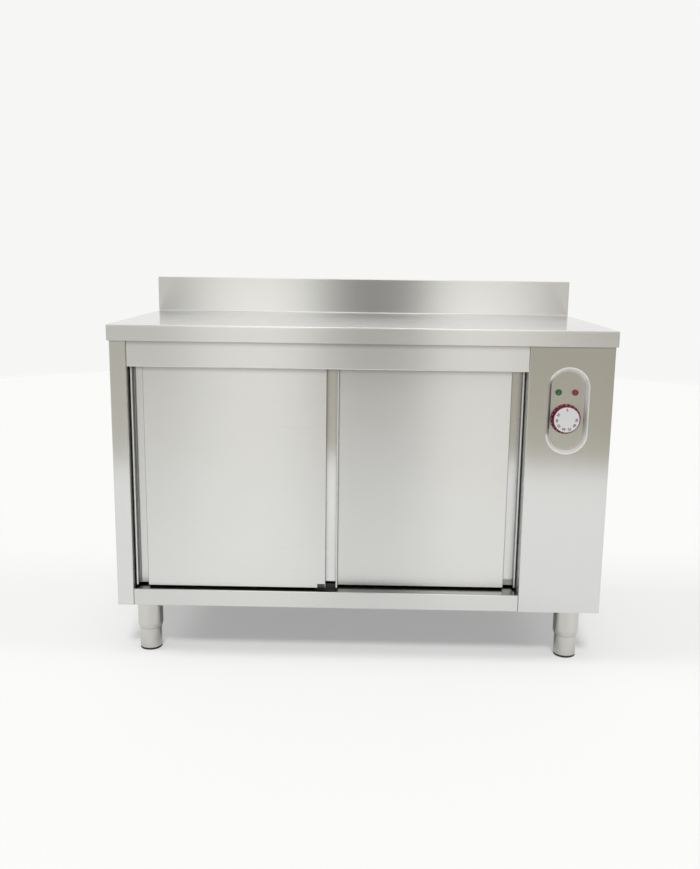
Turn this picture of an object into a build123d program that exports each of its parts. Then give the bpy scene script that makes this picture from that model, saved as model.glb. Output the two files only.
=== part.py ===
"""Plate warmer cabinet: a worktop with an upstand on a heated two-door stainless cupboard.

Frame: X to the right, Y to the back, Z up, in millimetres. The origin is on the floor,
in the middle of the footprint. Every piece is written to parts/NODE.step.
"""

import os
from math import cos, radians, sin

from build123d import *

# ---------------------------------------------------------------- driving dimensions
WIDTH = 1200
DEPTH = 600
WORK_HEIGHT = 830
UPSTAND_HEIGHT = 98
UPSTAND_DEPTH = 30
EDGE_HEIGHT = 38
OVERHANG = 5

TOP_SHEET = 1.5
SHEET = 1
TOP_BEND = 2
COVE = 3
BEND = 1.5

LEG_HEIGHT = 136
LEG_INSET = 65
POST_WIDTH = 40
PANEL_WIDTH = 200
RAIL_HEIGHT = 42
HEADER_BOTTOM = 730.5
FLANGE = 20
SEAM = 1

BACK_WALL = 30
CEILING = 790

DOOR_WIDTH = 500
DOOR_THICKNESS = 21
DOOR_PITCH = 25
DOOR_SETBACK = 15
DOOR_BOTTOM = 184
DOOR_TOP = 745
DOOR_GAPS = (4, 2.5)
GRIP_WIDTH = 25
LIP_WIDTH = 5

CORNER_NOTCH = (20, 9.5)

DOOR_TRAVEL = 440
BLADE = 1.6
BLADE_RISE = 13
BLADE_SLOT = (4, 9)
GLIDE_HEIGHT = 15
GUIDE_INSET = 3

ROLLER_RADIUS = 10
ROLLER_WIDTH = 5.6
ROLLER_SPACING = 380
AXLE_RADIUS = 3
RUNNING_FIT = 0.05
ROLLING_GAP = 0.3
HANGER_HALF = 15
STOP_LENGTH = 6
TRACK_HANG = 31.8

RECESS_CENTRE = (490, 639.5)
RECESS_SIZE = (94, 203)
RECESS_DEPTH = 12
RECESS_SLOPE = 7

DIAL_CENTRE = (488, 619)
DIAL_RADIUS = 36
KNOB_RADIUS = 31.5
KNOB_FACE_RADIUS = 30
KNOB_FRONT = 298.5
SPINDLE_RADIUS = 3
LAMP_HEIGHT = 682.5
LAMP_PITCH = 39
LAMP_RADIUS = 7.5

STIFFENER_ROWS = (-180, 0, 180)

FAN_CENTRE = (40, 330)
FAN_RADIUS = 62
DUCT_Y = (-90, 170)
DUCT_Z = (215, 715)
DUCT_DEPTH = 80
HEATER_RADIUS = 80
HEATER_GAP = 18
PARTITION_WOOL = 25

SHELF_TOP = 470
SHELF_EDGE = 20

LEG_RADIUS = 31.75
LEG_WALL = 1.5
LEG_STEP = 58
LEG_TAPER = 10
FOOT_RADIUS = 27.5
PAD_HEIGHT = 6
PLATE_SIZE = 100
PLATE_THICKNESS = 3
BOLT_SPACING = 76

GLAND_PLACE = (540, 130)
GLAND_BORE = 5
SCREW_CLEARANCE = 2.2

# ---------------------------------------------------------------- derived places
SIDE = WIDTH / 2 - OVERHANG
FRONT = -(DEPTH / 2 - OVERHANG)
BACK = DEPTH / 2 - OVERHANG
CASING_TOP = WORK_HEIGHT - TOP_SHEET
SILL = LEG_HEIGHT + RAIL_HEIGHT
LEFT_JAMB = -SIDE + POST_WIDTH
RIGHT_JAMB = SIDE - PANEL_WIDTH
LINER_BACK = BACK - BACK_WALL
PANEL_FLOOR = FRONT + RECESS_DEPTH
LEFT_FACE = FRONT + DOOR_SETBACK
RIGHT_FACE = LEFT_FACE + DOOR_PITCH
LEFT_DOOR = (LEFT_JAMB + DOOR_GAPS[0], LEFT_FACE)
RIGHT_DOOR = (RIGHT_JAMB - DOOR_GAPS[1] - DOOR_WIDTH, RIGHT_FACE)
GUIDE_ENDS = (RIGHT_DOOR[0] + GUIDE_INSET, LEFT_DOOR[0] + DOOR_WIDTH - GUIDE_INSET)
GUIDE_PEGS = [sum(GUIDE_ENDS) / 2 + side * 16 for side in (-1, 1)]
ROLLER_HEIGHT = CEILING - TRACK_HANG + ROLLING_GAP + ROLLER_RADIUS
LEG_PLACES = {
    "front_left": (-SIDE + LEG_INSET, FRONT + LEG_INSET),
    "front_right": (SIDE - LEG_INSET, FRONT + LEG_INSET),
    "back_left": (-SIDE + LEG_INSET, BACK - LEG_INSET),
    "back_right": (SIDE - LEG_INSET, BACK - LEG_INSET),
}

parts = {}


# ---------------------------------------------------------------- helpers
def block(x, y, z):
    """A box between a low and a high value on each axis."""
    spans = (x, y, z)
    centre = [(low + high) / 2 for low, high in spans]
    return Pos(*centre) * Box(*[high - low for low, high in spans])


def rod(radius, start, end):
    """A round bar between two points."""
    start, end = Vector(*start), Vector(*end)
    length = (end - start).length
    return extrude(Plane(origin=start, z_dir=end - start) * Circle(radius), amount=length)


def tube(outer, inner, start, end):
    """A round pipe between two points."""
    return rod(outer, start, end) - rod(inner, start, end)


def folded(plane, corners, length, sheet=SHEET, bend=BEND):
    """Bent sheet: the middle line through the corners, drawn out along the plane's normal."""
    line = FilletPolyline(*corners, radius=bend)
    return extrude(plane * trace(line, line_width=sheet), amount=length)


def upright(corners, low, high, **options):
    """A sheet folded about vertical lines, from one height to another."""
    return folded(Plane.XY.offset(low), corners, high - low, **options)


def lengthwise(corners, left, right, **options):
    """A sheet folded about lines along X, from one end to the other."""
    return folded(Plane.YZ.offset(left), corners, right - left, **options)


def across(x, y, z, radius):
    """A cutter along X for a round hole."""
    return rod(radius, (x[0], y, z), (x[1], y, z))


# ---------------------------------------------------------------- worktop
def worktop_block(inset, low, top_edge, cove):
    """Tray and upstand as one solid, drawn in by inset on every outer side."""
    x = (-WIDTH / 2 + inset, WIDTH / 2 - inset)
    front, back = -DEPTH / 2 + inset, DEPTH / 2 - inset
    rise = DEPTH / 2 - UPSTAND_DEPTH + inset
    top = WORK_HEIGHT - inset
    solid = block(x, (front, back), (low, top))
    solid += block(x, (rise, back), (low, WORK_HEIGHT + UPSTAND_HEIGHT - inset))
    corner = solid.edges().filter_by(Axis.X).filter_by(
        lambda edge: abs(edge.center().Y - rise) < 0.01 and abs(edge.center().Z - top) < 0.01
    )
    solid = fillet(corner, cove)
    rounded = solid.edges().filter_by(lambda edge: edge.center().Z > low + 0.01)
    cove_edges = rounded.filter_by(
        lambda edge: edge.geom_type == GeomType.LINE
        and abs(abs(edge.center().X) - abs(x[0])) > 1
        and top - 0.01 < edge.center().Z < top + cove + 0.01
        and edge.center().Y > front + 1
    )
    return fillet(rounded - cove_edges, top_edge)


def make_worktop():
    """Folded worktop with its front and side edges, coved upstand and a hemmed bottom edge."""
    low = WORK_HEIGHT - EDGE_HEIGHT
    outer = worktop_block(0, low, TOP_BEND, COVE)
    inner = worktop_block(TOP_SHEET, low, TOP_BEND - TOP_SHEET, COVE + TOP_SHEET)
    shell = outer - inner
    hem_height = 8
    rim = worktop_rim(0, low, hem_height) - worktop_rim(2 * TOP_SHEET, low, hem_height)
    parts["worktop"] = shell + rim


def worktop_rim(inset, low, height):
    """The footprint of the worktop as a low block."""
    footprint = RectangleRounded(WIDTH - 2 * inset, DEPTH - 2 * inset, TOP_BEND)
    return extrude(Plane.XY.offset(low) * footprint, amount=height)


def make_stiffeners():
    """Three hat channels fixed under the worktop."""
    half_top, half_web, height, sheet = 38, 24, 25, 1.5
    roof = CASING_TOP - sheet / 2
    floor = CASING_TOP - height + sheet / 2
    hats = []
    for y in STIFFENER_ROWS:
        line = [(y - half_top, roof), (y - half_web, roof), (y - half_web, floor),
                (y + half_web, floor), (y + half_web, roof), (y + half_top, roof)]
        hats.append(lengthwise(line, LEFT_JAMB + 1, SIDE - 5, sheet=sheet, bend=2))
    parts["worktop_stiffeners"] = Part() + hats


# ---------------------------------------------------------------- outer casing
def screw_rows():
    """Places of the back panel's screws as X, Z pairs."""
    columns = [-570, -342, -114, 114, 342, 570]
    rows = [LEG_HEIGHT + 12, CASING_TOP - 14]
    sides = [(x, z) for x in (-585, 585) for z in (320, 482, 644)]
    return [(x, z) for x in columns for z in rows] + sides


def flange_screws():
    """Heights of the screws on the control panel's side flange."""
    return (LEG_HEIGHT + 40, 482, CASING_TOP - 60)


def make_left_side():
    """Left casing side with the front post, the door jamb and a back flange in one sheet."""
    half = SHEET / 2
    line = [(LEFT_JAMB - half, FRONT + FLANGE), (LEFT_JAMB - half, FRONT + half),
            (-SIDE + half, FRONT + half), (-SIDE + half, BACK - SHEET - half),
            (-SIDE + FLANGE, BACK - SHEET - half)]
    shape = upright(line, LEG_HEIGHT, CASING_TOP)
    parts["left_side_panel"] = shape - back_screw_holes()


def make_right_side():
    """Right casing side with a back flange."""
    half = SHEET / 2
    line = [(SIDE - half, FRONT + FLANGE + SEAM), (SIDE - half, BACK - SHEET - half),
            (SIDE - FLANGE, BACK - SHEET - half)]
    shape = upright(line, LEG_HEIGHT, CASING_TOP)
    parts["right_side_panel"] = shape - back_screw_holes()


def back_screw_holes():
    """Cutters for the back panel's screws."""
    return [rod(SCREW_CLEARANCE, (x, BACK - 8, z), (x, BACK + 1, z)) for x, z in screw_rows()]


def make_back_panel():
    """Flat back of the casing with air slots behind the control compartment."""
    panel = block((-SIDE, SIDE), (BACK - SHEET, BACK), (LEG_HEIGHT, CASING_TOP))
    slots = []
    for row in range(8):
        centre = (500, BACK - SHEET / 2, 610 + 14 * row)
        slots.append(Pos(*centre) * Rot(90, 0, 0) * extrude(SlotOverall(110, 6), amount=2, both=True))
    parts["back_panel"] = panel - slots - back_screw_holes()


def make_base_pan():
    """Flat underside of the casing, reaching forward under the post and the control panel."""
    z = (LEG_HEIGHT, LEG_HEIGHT + SHEET)
    edge = SIDE - SHEET - SEAM
    tab = (FRONT + SHEET + SEAM, FRONT + FLANGE + 1)
    pan = block((-edge, edge), (FRONT + FLANGE + 1, BACK - 2 * SHEET - SEAM), z)
    pan += block((-edge, LEFT_JAMB - SHEET - SEAM), tab, z)
    pan += block((RIGHT_JAMB + SHEET + SEAM, edge), tab, z)
    holes = [rod(4.2, (x, y, z[0] - 1), (x, y, z[1] + 1)) for x, y in bolt_places()]
    gland_hole = rod(8.2, (*GLAND_PLACE, z[0] - 1), (*GLAND_PLACE, z[1] + 1))
    parts["base_pan"] = pan - holes - gland_hole


def make_header():
    """Rail above the doors, covering the door track, with folded edges."""
    half = SHEET / 2
    line = [(FRONT + 10, HEADER_BOTTOM + half), (FRONT + half, HEADER_BOTTOM + half),
            (FRONT + half, CASING_TOP - half), (FRONT + 12, CASING_TOP - half)]
    parts["header_rail"] = lengthwise(line, LEFT_JAMB + SEAM, RIGHT_JAMB - SEAM)


def guide_pegs(low, high, radius):
    """The two pegs that hold the door guide in the deck, or the cutters for their holes."""
    y = (LEFT_FACE + RIGHT_FACE + DOOR_THICKNESS) / 2
    return [rod(radius, (x, y, low), (x, y, high)) for x in GUIDE_PEGS]


def make_deck():
    """Chamber floor whose front folds down into the bottom rail and back under it."""
    half = SHEET / 2
    line = [(LINER_BACK - 0.1, SILL - half), (FRONT + half, SILL - half),
            (FRONT + half, LEG_HEIGHT + half), (FRONT + FLANGE, LEG_HEIGHT + half)]
    deck = lengthwise(line, LEFT_JAMB + SEAM, RIGHT_JAMB - SEAM)
    parts["base_deck"] = deck - guide_pegs(SILL - SHEET - 1, SILL + 1, 3.05)


# ---------------------------------------------------------------- control panel
def stadium(width, height, plane):
    """An upright slot outline with round ends."""
    return plane * Pos(*RECESS_CENTRE) * SlotOverall(height, width, rotation=90)


def pressing(growth, front, floor, root):
    """The pressed pocket's shape as a solid, grown sideways by growth, with rounded root."""
    width, height = RECESS_SIZE
    mouth = stadium(width + growth, height + growth, Plane.XZ.offset(-front))
    narrow = 2 * RECESS_SLOPE - growth
    base = stadium(width - narrow, height - narrow, Plane.XZ.offset(-floor))
    solid = loft([mouth, base])
    bottom = solid.faces().sort_by(Axis.Y)[-1].edges()
    return fillet(bottom, root)


def make_control_panel():
    """Full-height control panel with folded sides and the pressed recess for the controls."""
    half = SHEET / 2
    line = [(RIGHT_JAMB + half, FRONT + FLANGE), (RIGHT_JAMB + half, FRONT + half),
            (SIDE - half, FRONT + half), (SIDE - half, FRONT + FLANGE)]
    shape = upright(line, LEG_HEIGHT, CASING_TOP)
    shape += pressing(2, FRONT + SHEET / 2, PANEL_FLOOR + SHEET, 3)
    shape -= pressing(0, FRONT, PANEL_FLOOR, 2)
    rim = shape.faces().filter_by(Axis.Y).sort_by(Axis.Y)[0].inner_wires()[0].edges()
    shape = fillet(rim, 3)
    floor = (PANEL_FLOOR - 1, PANEL_FLOOR + 2)
    x, z = DIAL_CENTRE
    shape -= rod(5.3, (x, floor[0], z), (x, floor[1], z))
    for lamp_x in lamp_columns():
        shape -= rod(6.2, (lamp_x, floor[0], LAMP_HEIGHT), (lamp_x, floor[1], LAMP_HEIGHT))
    for height in flange_screws():
        shape -= across((SIDE - 4, SIDE + 1), FRONT + 12, height, SCREW_CLEARANCE)
    parts["control_panel"] = shape


def lamp_columns():
    """X of the green lamp and of the red lamp."""
    return (DIAL_CENTRE[0] - LAMP_PITCH / 2, DIAL_CENTRE[0] + LAMP_PITCH / 2)


def make_lamps():
    """Two round pilot lamps: a domed lens in front, a body with a nut and tabs behind."""
    bodies = []
    for x, node in zip(lamp_columns(), ("green_lamp_lens", "red_lamp_lens")):
        base = PANEL_FLOOR
        rim = rod(LAMP_RADIUS, (x, base, LAMP_HEIGHT), (x, base - 4.5, LAMP_HEIGHT))
        rim = fillet(rim.faces().sort_by(Axis.Y)[0].edges(), 2.5)
        neck = rod(6, (x, base, LAMP_HEIGHT), (x, base + 6, LAMP_HEIGHT))
        parts[node] = rim + neck
        body = rod(6, (x, base + 6, LAMP_HEIGHT), (x, base + 28, LAMP_HEIGHT))
        for side in (-3, 3):
            tab_x = (x + side - 0.4, x + side + 0.4)
            body += block(tab_x, (base + 27, base + 36), (LAMP_HEIGHT - 2.4, LAMP_HEIGHT + 2.4))
        plane = Plane(origin=(x, base + SHEET, LAMP_HEIGHT), z_dir=(0, 1, 0))
        nut = extrude(plane * (RegularPolygon(9, 6) - Circle(6.1)), amount=3)
        bodies += [body, nut]
    parts["lamp_bodies"] = Part() + bodies


def make_dial():
    """Fixed dial ring, the turning knob with its inlaid face, and the spindle it turns."""
    x, z = DIAL_CENTRE
    ring = tube(DIAL_RADIUS, 9.5, (x, PANEL_FLOOR, z), (x, PANEL_FLOOR - 2, z))
    outer = ring.faces().sort_by(Axis.Y)[0].outer_wire().edges()
    parts["dial_ring"] = fillet(outer, 0.8)
    back, front = PANEL_FLOOR - 2.8, -KNOB_FRONT + 1
    knob = rod(KNOB_RADIUS, (x, back, z), (x, -KNOB_FRONT, z))
    knob = fillet(knob.faces().sort_by(Axis.Y)[0].edges(), 0.8)
    knob -= rod(KNOB_FACE_RADIUS, (x, -KNOB_FRONT - 1, z), (x, front, z))
    knob -= grip_flutes(x, z, back, -KNOB_FRONT)
    knob += rod(8.5, (x, back, z), (x, PANEL_FLOOR - 0.6, z))
    knob -= rod(SPINDLE_RADIUS, (x, PANEL_FLOOR, z), (x, -290, z))
    parts["knob_body"] = knob
    parts["knob_face"] = rod(KNOB_FACE_RADIUS, (x, front, z), (x, -KNOB_FRONT, z))
    parts["thermostat_spindle"] = rod(SPINDLE_RADIUS, (x, -290, z), (x, PANEL_FLOOR + 24, z))


def grip_flutes(x, z, back, front):
    """Shallow scallops round the knob's side."""
    flutes, count, reach = [], 36, KNOB_RADIUS + 1.1
    for index in range(count):
        angle = radians(360 * index / count)
        centre_x, centre_z = x + reach * cos(angle), z + reach * sin(angle)
        flutes.append(rod(1.7, (centre_x, back + 1.5, centre_z), (centre_x, front + 2, centre_z)))
    return flutes


def make_thermostat():
    """Capillary thermostat behind the panel: body, threaded bush, capillary and sensing bulb."""
    x, z = DIAL_CENTRE
    front, back = PANEL_FLOOR + 20, PANEL_FLOOR + 52
    bush = rod(5, (x, PANEL_FLOOR, z), (x, front, z))
    body = bush + block((x - 20, x + 20), (front, back), (z - 18, z + 18))
    body -= rod(SPINDLE_RADIUS + RUNNING_FIT, (x, PANEL_FLOOR - 3, z), (x, front + 6, z))
    bend_y, bulb_x = -180, RIGHT_JAMB - 12
    route = [(x, back - 1, z), (x, bend_y, z), (bulb_x, bend_y, z), (bulb_x, -110, z)]
    line = FilletPolyline(*route, radius=18)
    profile = Plane(origin=line @ 0, z_dir=line % 0) * Circle(1.2)
    body += sweep(profile, path=line)
    body += rod(4, (bulb_x, -130, z), (bulb_x, -30, z))
    parts["thermostat"] = body


# ---------------------------------------------------------------- chamber
def make_liners():
    """Flat inner skins of the heated chamber: left side, back and ceiling."""
    z = (SILL - SHEET, CEILING + SHEET)
    parts["left_side_liner"] = block(
        (LEFT_JAMB - SHEET, LEFT_JAMB), (FRONT + FLANGE + SEAM, LINER_BACK), z
    )
    wide = (LEFT_JAMB - SHEET, RIGHT_JAMB + SHEET)
    parts["back_liner"] = block(wide, (LINER_BACK, LINER_BACK + SHEET), z)
    between = (LEFT_JAMB + SEAM, RIGHT_JAMB - SEAM)
    parts["ceiling_liner"] = block(between, (FRONT + 11, LINER_BACK), (CEILING, CEILING + SHEET))


def make_partition():
    """Wall between chamber and controls, with the fan's inlet and the warm air outlets."""
    x = (RIGHT_JAMB, RIGHT_JAMB + SHEET)
    wall = block(x, (FRONT + FLANGE + SEAM, LINER_BACK), (SILL - SHEET, CEILING + SHEET))
    cut = (x[0] - 1, x[1] + 1)
    wall -= across(cut, *FAN_CENTRE, 70)
    wall -= across(cut, -180, DIAL_CENTRE[1], 3)
    slot = Rot(0, 90, 0) * extrude(SlotOverall(150, 8, rotation=90), amount=3, both=True)
    for row in range(6):
        wall -= Pos(x[0], FAN_CENTRE[0], 600 + 18 * row) * slot
    parts["partition"] = wall


def make_fan():
    """Air duct on the partition with the fan motor, ring heater, impeller and inlet guard."""
    x = RIGHT_JAMB + SHEET
    y, z = FAN_CENTRE
    back = x + DUCT_DEPTH
    duct = block((x, back), DUCT_Y, DUCT_Z)
    duct -= block((x - 1, back - SHEET), (DUCT_Y[0] + SHEET, DUCT_Y[1] - SHEET),
                  (DUCT_Z[0] + SHEET, DUCT_Z[1] - SHEET))
    duct -= across((back - 3, back + 3), y, z, 6)
    duct -= [across((back - 3, back + 3), end_y, end_z, 4.5) for end_y, end_z in heater_ends()]
    parts["air_duct"] = duct
    motor = rod(36, (back, y, z), (back + 55, y, z))
    motor -= rod(5, (back - 1, y, z), (back + 4, y, z))
    motor -= rod(AXLE_RADIUS + RUNNING_FIT, (back, y, z), (back + 25, y, z))
    parts["fan_motor"] = fillet(motor.faces().sort_by(Axis.X)[-1].edges(), 6)
    make_impeller(x, back)
    make_heater(x, back)
    make_guard()


def make_impeller(x, back):
    """Radial fan wheel on the motor's shaft."""
    y, z = FAN_CENTRE
    plate = (back - 22, back - 20)
    wheel = rod(FAN_RADIUS, (plate[0], y, z), (plate[1], y, z))
    wheel += rod(11, (x + 32, y, z), (plate[0], y, z))
    blade = block((x + 32, plate[0]), (10, FAN_RADIUS - 1), (-0.75, 0.75))
    count = 12
    for index in range(count):
        wheel += Pos(0, y, z) * Rot(360 * index / count, 0, 0) * blade
    wheel += rod(AXLE_RADIUS, (plate[1], y, z), (back + 22, y, z))
    parts["fan_impeller"] = wheel


def heater_ends():
    """Y, Z of the heater's two legs."""
    y, z = FAN_CENTRE
    aside, rise = HEATER_RADIUS * sin(radians(HEATER_GAP)), HEATER_RADIUS * cos(radians(HEATER_GAP))
    return [(y + sign * aside, z + rise) for sign in (-1, 1)]


def make_heater(x, back):
    """Tubular heater bent into an open ring round the impeller, with its legs and terminals."""
    plane = Plane(origin=(x + 45, *FAN_CENTRE), x_dir=(0, 0, 1), z_dir=(1, 0, 0))
    ring = plane * CenterArc((0, 0), HEATER_RADIUS, HEATER_GAP, 360 - 2 * HEATER_GAP)
    section = Plane(origin=ring @ 0, z_dir=ring % 0) * Circle(4)
    heater = sweep(section, path=ring)
    for y, z in heater_ends():
        heater += Pos(x + 45, y, z) * Sphere(4)
        heater += rod(4, (x + 45, y, z), (back + 14, y, z))
        heater += rod(1.5, (back + 14, y, z), (back + 24, y, z))
    parts["heating_element"] = heater


def make_guard():
    """Round guard of rings and spokes over the fan's inlet, on the chamber side."""
    rings = Circle(86) - Circle(72)
    for outer in (62, 47, 32):
        rings += Circle(outer) - Circle(outer - 5)
    rings += Circle(17)
    for angle in (0, 45, 90, 135):
        rings += Rot(0, 0, angle) * Rectangle(160, 5)
    plane = Plane(origin=(RIGHT_JAMB, *FAN_CENTRE), z_dir=(-1, 0, 0))
    parts["fan_guard"] = extrude(plane * rings, amount=1.5)


def make_shelf():
    """Slotted shelf with down-turned edges, and the two angle rails that carry it."""
    x, y = (LEFT_JAMB + 4, RIGHT_JAMB - 4), (-220, LINER_BACK - 6)
    low = SHELF_TOP - SHELF_EDGE
    outer = fillet(block(x, y, (low, SHELF_TOP)).edges().filter_by(
        lambda edge: edge.center().Z > low + 0.01), 2.5)
    inside = [(span[0] + SHEET, span[1] - SHEET) for span in (x, y)]
    inner = block(*inside, (low - 1, SHELF_TOP - SHEET))
    inner = fillet(inner.edges().filter_by(lambda edge: edge.center().Z > low), 1.5)
    shelf = outer - inner
    slot = extrude(SlotOverall(70, 9), amount=3, both=True)
    for column in range(9):
        for row in range(4):
            place = ((x[0] + x[1]) / 2 + 96 * (column - 4), (y[0] + y[1]) / 2 + 100 * (row - 1.5))
            shelf -= Pos(*place, SHELF_TOP) * slot
    parts["shelf"] = shelf
    rail = 1.5
    rails = []
    for wall, side in ((LEFT_JAMB, 1), (RIGHT_JAMB, -1)):
        middle = wall + side * rail / 2
        line = [(middle, low - 25), (middle, low - rail / 2), (wall + side * 20, low - rail / 2)]
        plane = Plane(origin=(0, y[0] + 4, 0), x_dir=(1, 0, 0), z_dir=(0, -1, 0))
        rails.append(folded(plane, line, y[0] - y[1] + 8, sheet=rail, bend=1.5))
    parts["shelf_supports"] = Part() + rails


def make_insulation():
    """Mineral wool slabs between the inner and outer skins."""
    inside = (LEFT_JAMB + 1, RIGHT_JAMB - 1)
    slabs = [
        block((-SIDE + 1.5, LEFT_JAMB - 1.5), (FRONT + 2, BACK - 10), (LEG_HEIGHT + 8, CASING_TOP - 3)),
        block(inside, (LINER_BACK + 1.5, BACK - 10), (SILL, CEILING)),
        block(inside, (FRONT + FLANGE + 2, LINER_BACK), (LEG_HEIGHT + 8, SILL - 1.5)),
    ]
    reach = 40
    edges = [FRONT + FLANGE, *[y + side * reach for y in STIFFENER_ROWS for side in (-1, 1)], LINER_BACK]
    for low, high in zip(edges[::2], edges[1::2]):
        slabs.append(block(inside, (low, high), (CEILING + 1.5, CASING_TOP - 2)))
    wool = (RIGHT_JAMB + 1.5, RIGHT_JAMB + PARTITION_WOOL)
    side = block(wool, (FRONT + FLANGE + 2, LINER_BACK), (SILL, CEILING - 1))
    through = (wool[0] - 1, wool[1] + 1)
    side -= block(through, (DUCT_Y[0] - 1, DUCT_Y[1] + 1), (DUCT_Z[0] - 1, DUCT_Z[1] + 1))
    side -= across(through, -180, DIAL_CENTRE[1], 5)
    parts["insulation"] = Part() + [*slabs, side]


# ---------------------------------------------------------------- doors
def door_centre(face):
    """Y of a door's middle plane."""
    return face + DOOR_THICKNESS / 2


def pair_of_columns(left, spacing):
    """X of two fittings set evenly about the middle of the door that starts at left."""
    middle = left + DOOR_WIDTH / 2
    return (middle - spacing / 2, middle + spacing / 2)


def roller_columns(left):
    """X of a door's two rollers."""
    return pair_of_columns(left, ROLLER_SPACING)


def make_door_skin(left, face, meeting):
    """Front sheet whose two vertical edges fold into C channels to pull the door by.

    The edge that laps the other door, the right one at a meeting of 1 and the left one at
    -1, has its bottom corner notched beside the channel.
    """
    half = SHEET / 2
    right = left + DOOR_WIDTH
    front, back = face + half, face + DOOR_THICKNESS - half
    lip = LIP_WIDTH - half
    channel = LIP_WIDTH + GRIP_WIDTH + half
    line = [(left + half, back), (left + half, front), (left + lip, front), (left + lip, back),
            (left + channel, back), (left + channel, front), (right - channel, front),
            (right - channel, back), (right - lip, back), (right - lip, front),
            (right - half, front), (right - half, back)]
    skin = upright(line, DOOR_BOTTOM, DOOR_TOP)
    notch_width, notch_height = CORNER_NOTCH
    corner = (left + right) / 2 + meeting * (DOOR_WIDTH / 2 - channel + half)
    notch = sorted((corner, corner - meeting * notch_width))
    skin -= block(notch, (face - 1, face + 3), (DOOR_BOTTOM - 1, DOOR_BOTTOM + notch_height))
    return skin - blade_slot(left, face)


def blade_slot(left, face):
    """Cutter for the slot along a door's underside that its guide blade runs in."""
    middle = door_centre(face)
    width, height = BLADE_SLOT
    y = (middle - width / 2, middle + width / 2)
    return block((left - 1, left + DOOR_WIDTH + 1), y, (DOOR_BOTTOM - 1, DOOR_BOTTOM + height))


def make_door_back(left, face):
    """Flat inner sheet of a door, between its channels."""
    edge = LIP_WIDTH + GRIP_WIDTH + SHEET + 0.1
    x = (left + edge, left + DOOR_WIDTH - edge)
    back = face + DOOR_THICKNESS
    return block(x, (back - SHEET, back), (DOOR_BOTTOM + 2, DOOR_TOP - 2))


def make_door_core(left, face):
    """Insulating core between a door's two skins."""
    edge = LIP_WIDTH + GRIP_WIDTH + SHEET + 0.5
    x = (left + edge, left + DOOR_WIDTH - edge)
    y = (face + SHEET + 0.2, face + DOOR_THICKNESS - SHEET - 0.2)
    return block(x, y, (DOOR_BOTTOM + 16, DOOR_TOP - 10))


def make_door_hangers(left, face):
    """Two hangers on top of a door's core, each with a riveted axle for its roller."""
    middle = door_centre(face)
    foot = DOOR_TOP - 10
    hangers = []
    for x in roller_columns(left):
        hanger = block((x - 22, x + 22), (face + 2, face + DOOR_THICKNESS - 2), (foot, foot + 2))
        upright_x, upright_y = (x - HANGER_HALF, x + HANGER_HALF), (middle - 1, middle + 1)
        hanger += block(upright_x, upright_y, (foot, ROLLER_HEIGHT + 8))
        hanger += rod(AXLE_RADIUS, (x, middle, ROLLER_HEIGHT), (x, middle + 8.4, ROLLER_HEIGHT))
        hanger += rod(4.5, (x, middle + 8.4, ROLLER_HEIGHT), (x, middle + 9.4, ROLLER_HEIGHT))
        hangers.append(hanger)
    return Part() + hangers


def make_roller(x, face):
    """Grooveless nylon roller with a bore for the hanger's axle."""
    start = door_centre(face) + 2
    wheel = tube(ROLLER_RADIUS, AXLE_RADIUS + RUNNING_FIT,
                 (x, start, ROLLER_HEIGHT), (x, start + ROLLER_WIDTH, ROLLER_HEIGHT))
    rims = [edge for side in wheel.faces().filter_by(Axis.Y) for edge in side.outer_wire().edges()]
    return fillet(rims, 0.6)


def make_door_glide(left, face):
    """Nylon strip that closes a door's underside, with the slot for the guide blade."""
    edge = LIP_WIDTH + GRIP_WIDTH + SHEET + 0.5
    x = (left + edge, left + DOOR_WIDTH - edge)
    y = (face + 2, face + DOOR_THICKNESS - 2)
    strip = block(x, y, (DOOR_BOTTOM + 0.5, DOOR_BOTTOM + GLIDE_HEIGHT))
    return strip - blade_slot(left, face)


def make_doors():
    """Both sliding doors and their rollers."""
    for side, (left, face), meeting in (("left", LEFT_DOOR, 1), ("right", RIGHT_DOOR, -1)):
        parts[f"{side}_door_skin"] = make_door_skin(left, face, meeting)
        parts[f"{side}_door_back"] = make_door_back(left, face)
        parts[f"{side}_door_core"] = make_door_core(left, face)
        parts[f"{side}_door_hangers"] = make_door_hangers(left, face)
        parts[f"{side}_door_glide"] = make_door_glide(left, face)
        for number, x in enumerate(roller_columns(left), start=1):
            parts[f"{side}_door_roller_{number}"] = make_roller(x, face)


def make_door_track():
    """Twin top track: a flange under the ceiling, two ledges the rollers run on, end stops."""
    ends = (LEFT_JAMB + 2, RIGHT_JAMB - 2)
    top = CEILING
    ledge_top = ROLLER_HEIGHT - ROLLER_RADIUS - ROLLING_GAP
    track = block(ends, (LEFT_FACE - 3, RIGHT_FACE + DOOR_THICKNESS + 3), (top - 2, top))
    for (left, face), travel in ((LEFT_DOOR, DOOR_TRAVEL), (RIGHT_DOOR, -DOOR_TRAVEL)):
        middle = door_centre(face)
        track += block(ends, (middle + 10, middle + 12), (ledge_top - 1.6, top))
        track += block(ends, (middle + 2.2, middle + 12), (ledge_top - 1.6, ledge_top))
        for low in stop_places(left, travel):
            track += block((low, low + STOP_LENGTH), (middle - 4, middle + 4), (ROLLER_HEIGHT + 2, top))
    parts["door_track"] = track


def stop_places(left, travel):
    """Low X of the two end stops in the lane of the door that starts at left and slides by travel."""
    reach = [x + shift for x in roller_columns(left) for shift in (0, travel)]
    clear = HANGER_HALF + 1
    return (min(reach) - clear - STOP_LENGTH, max(reach) + clear)


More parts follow.
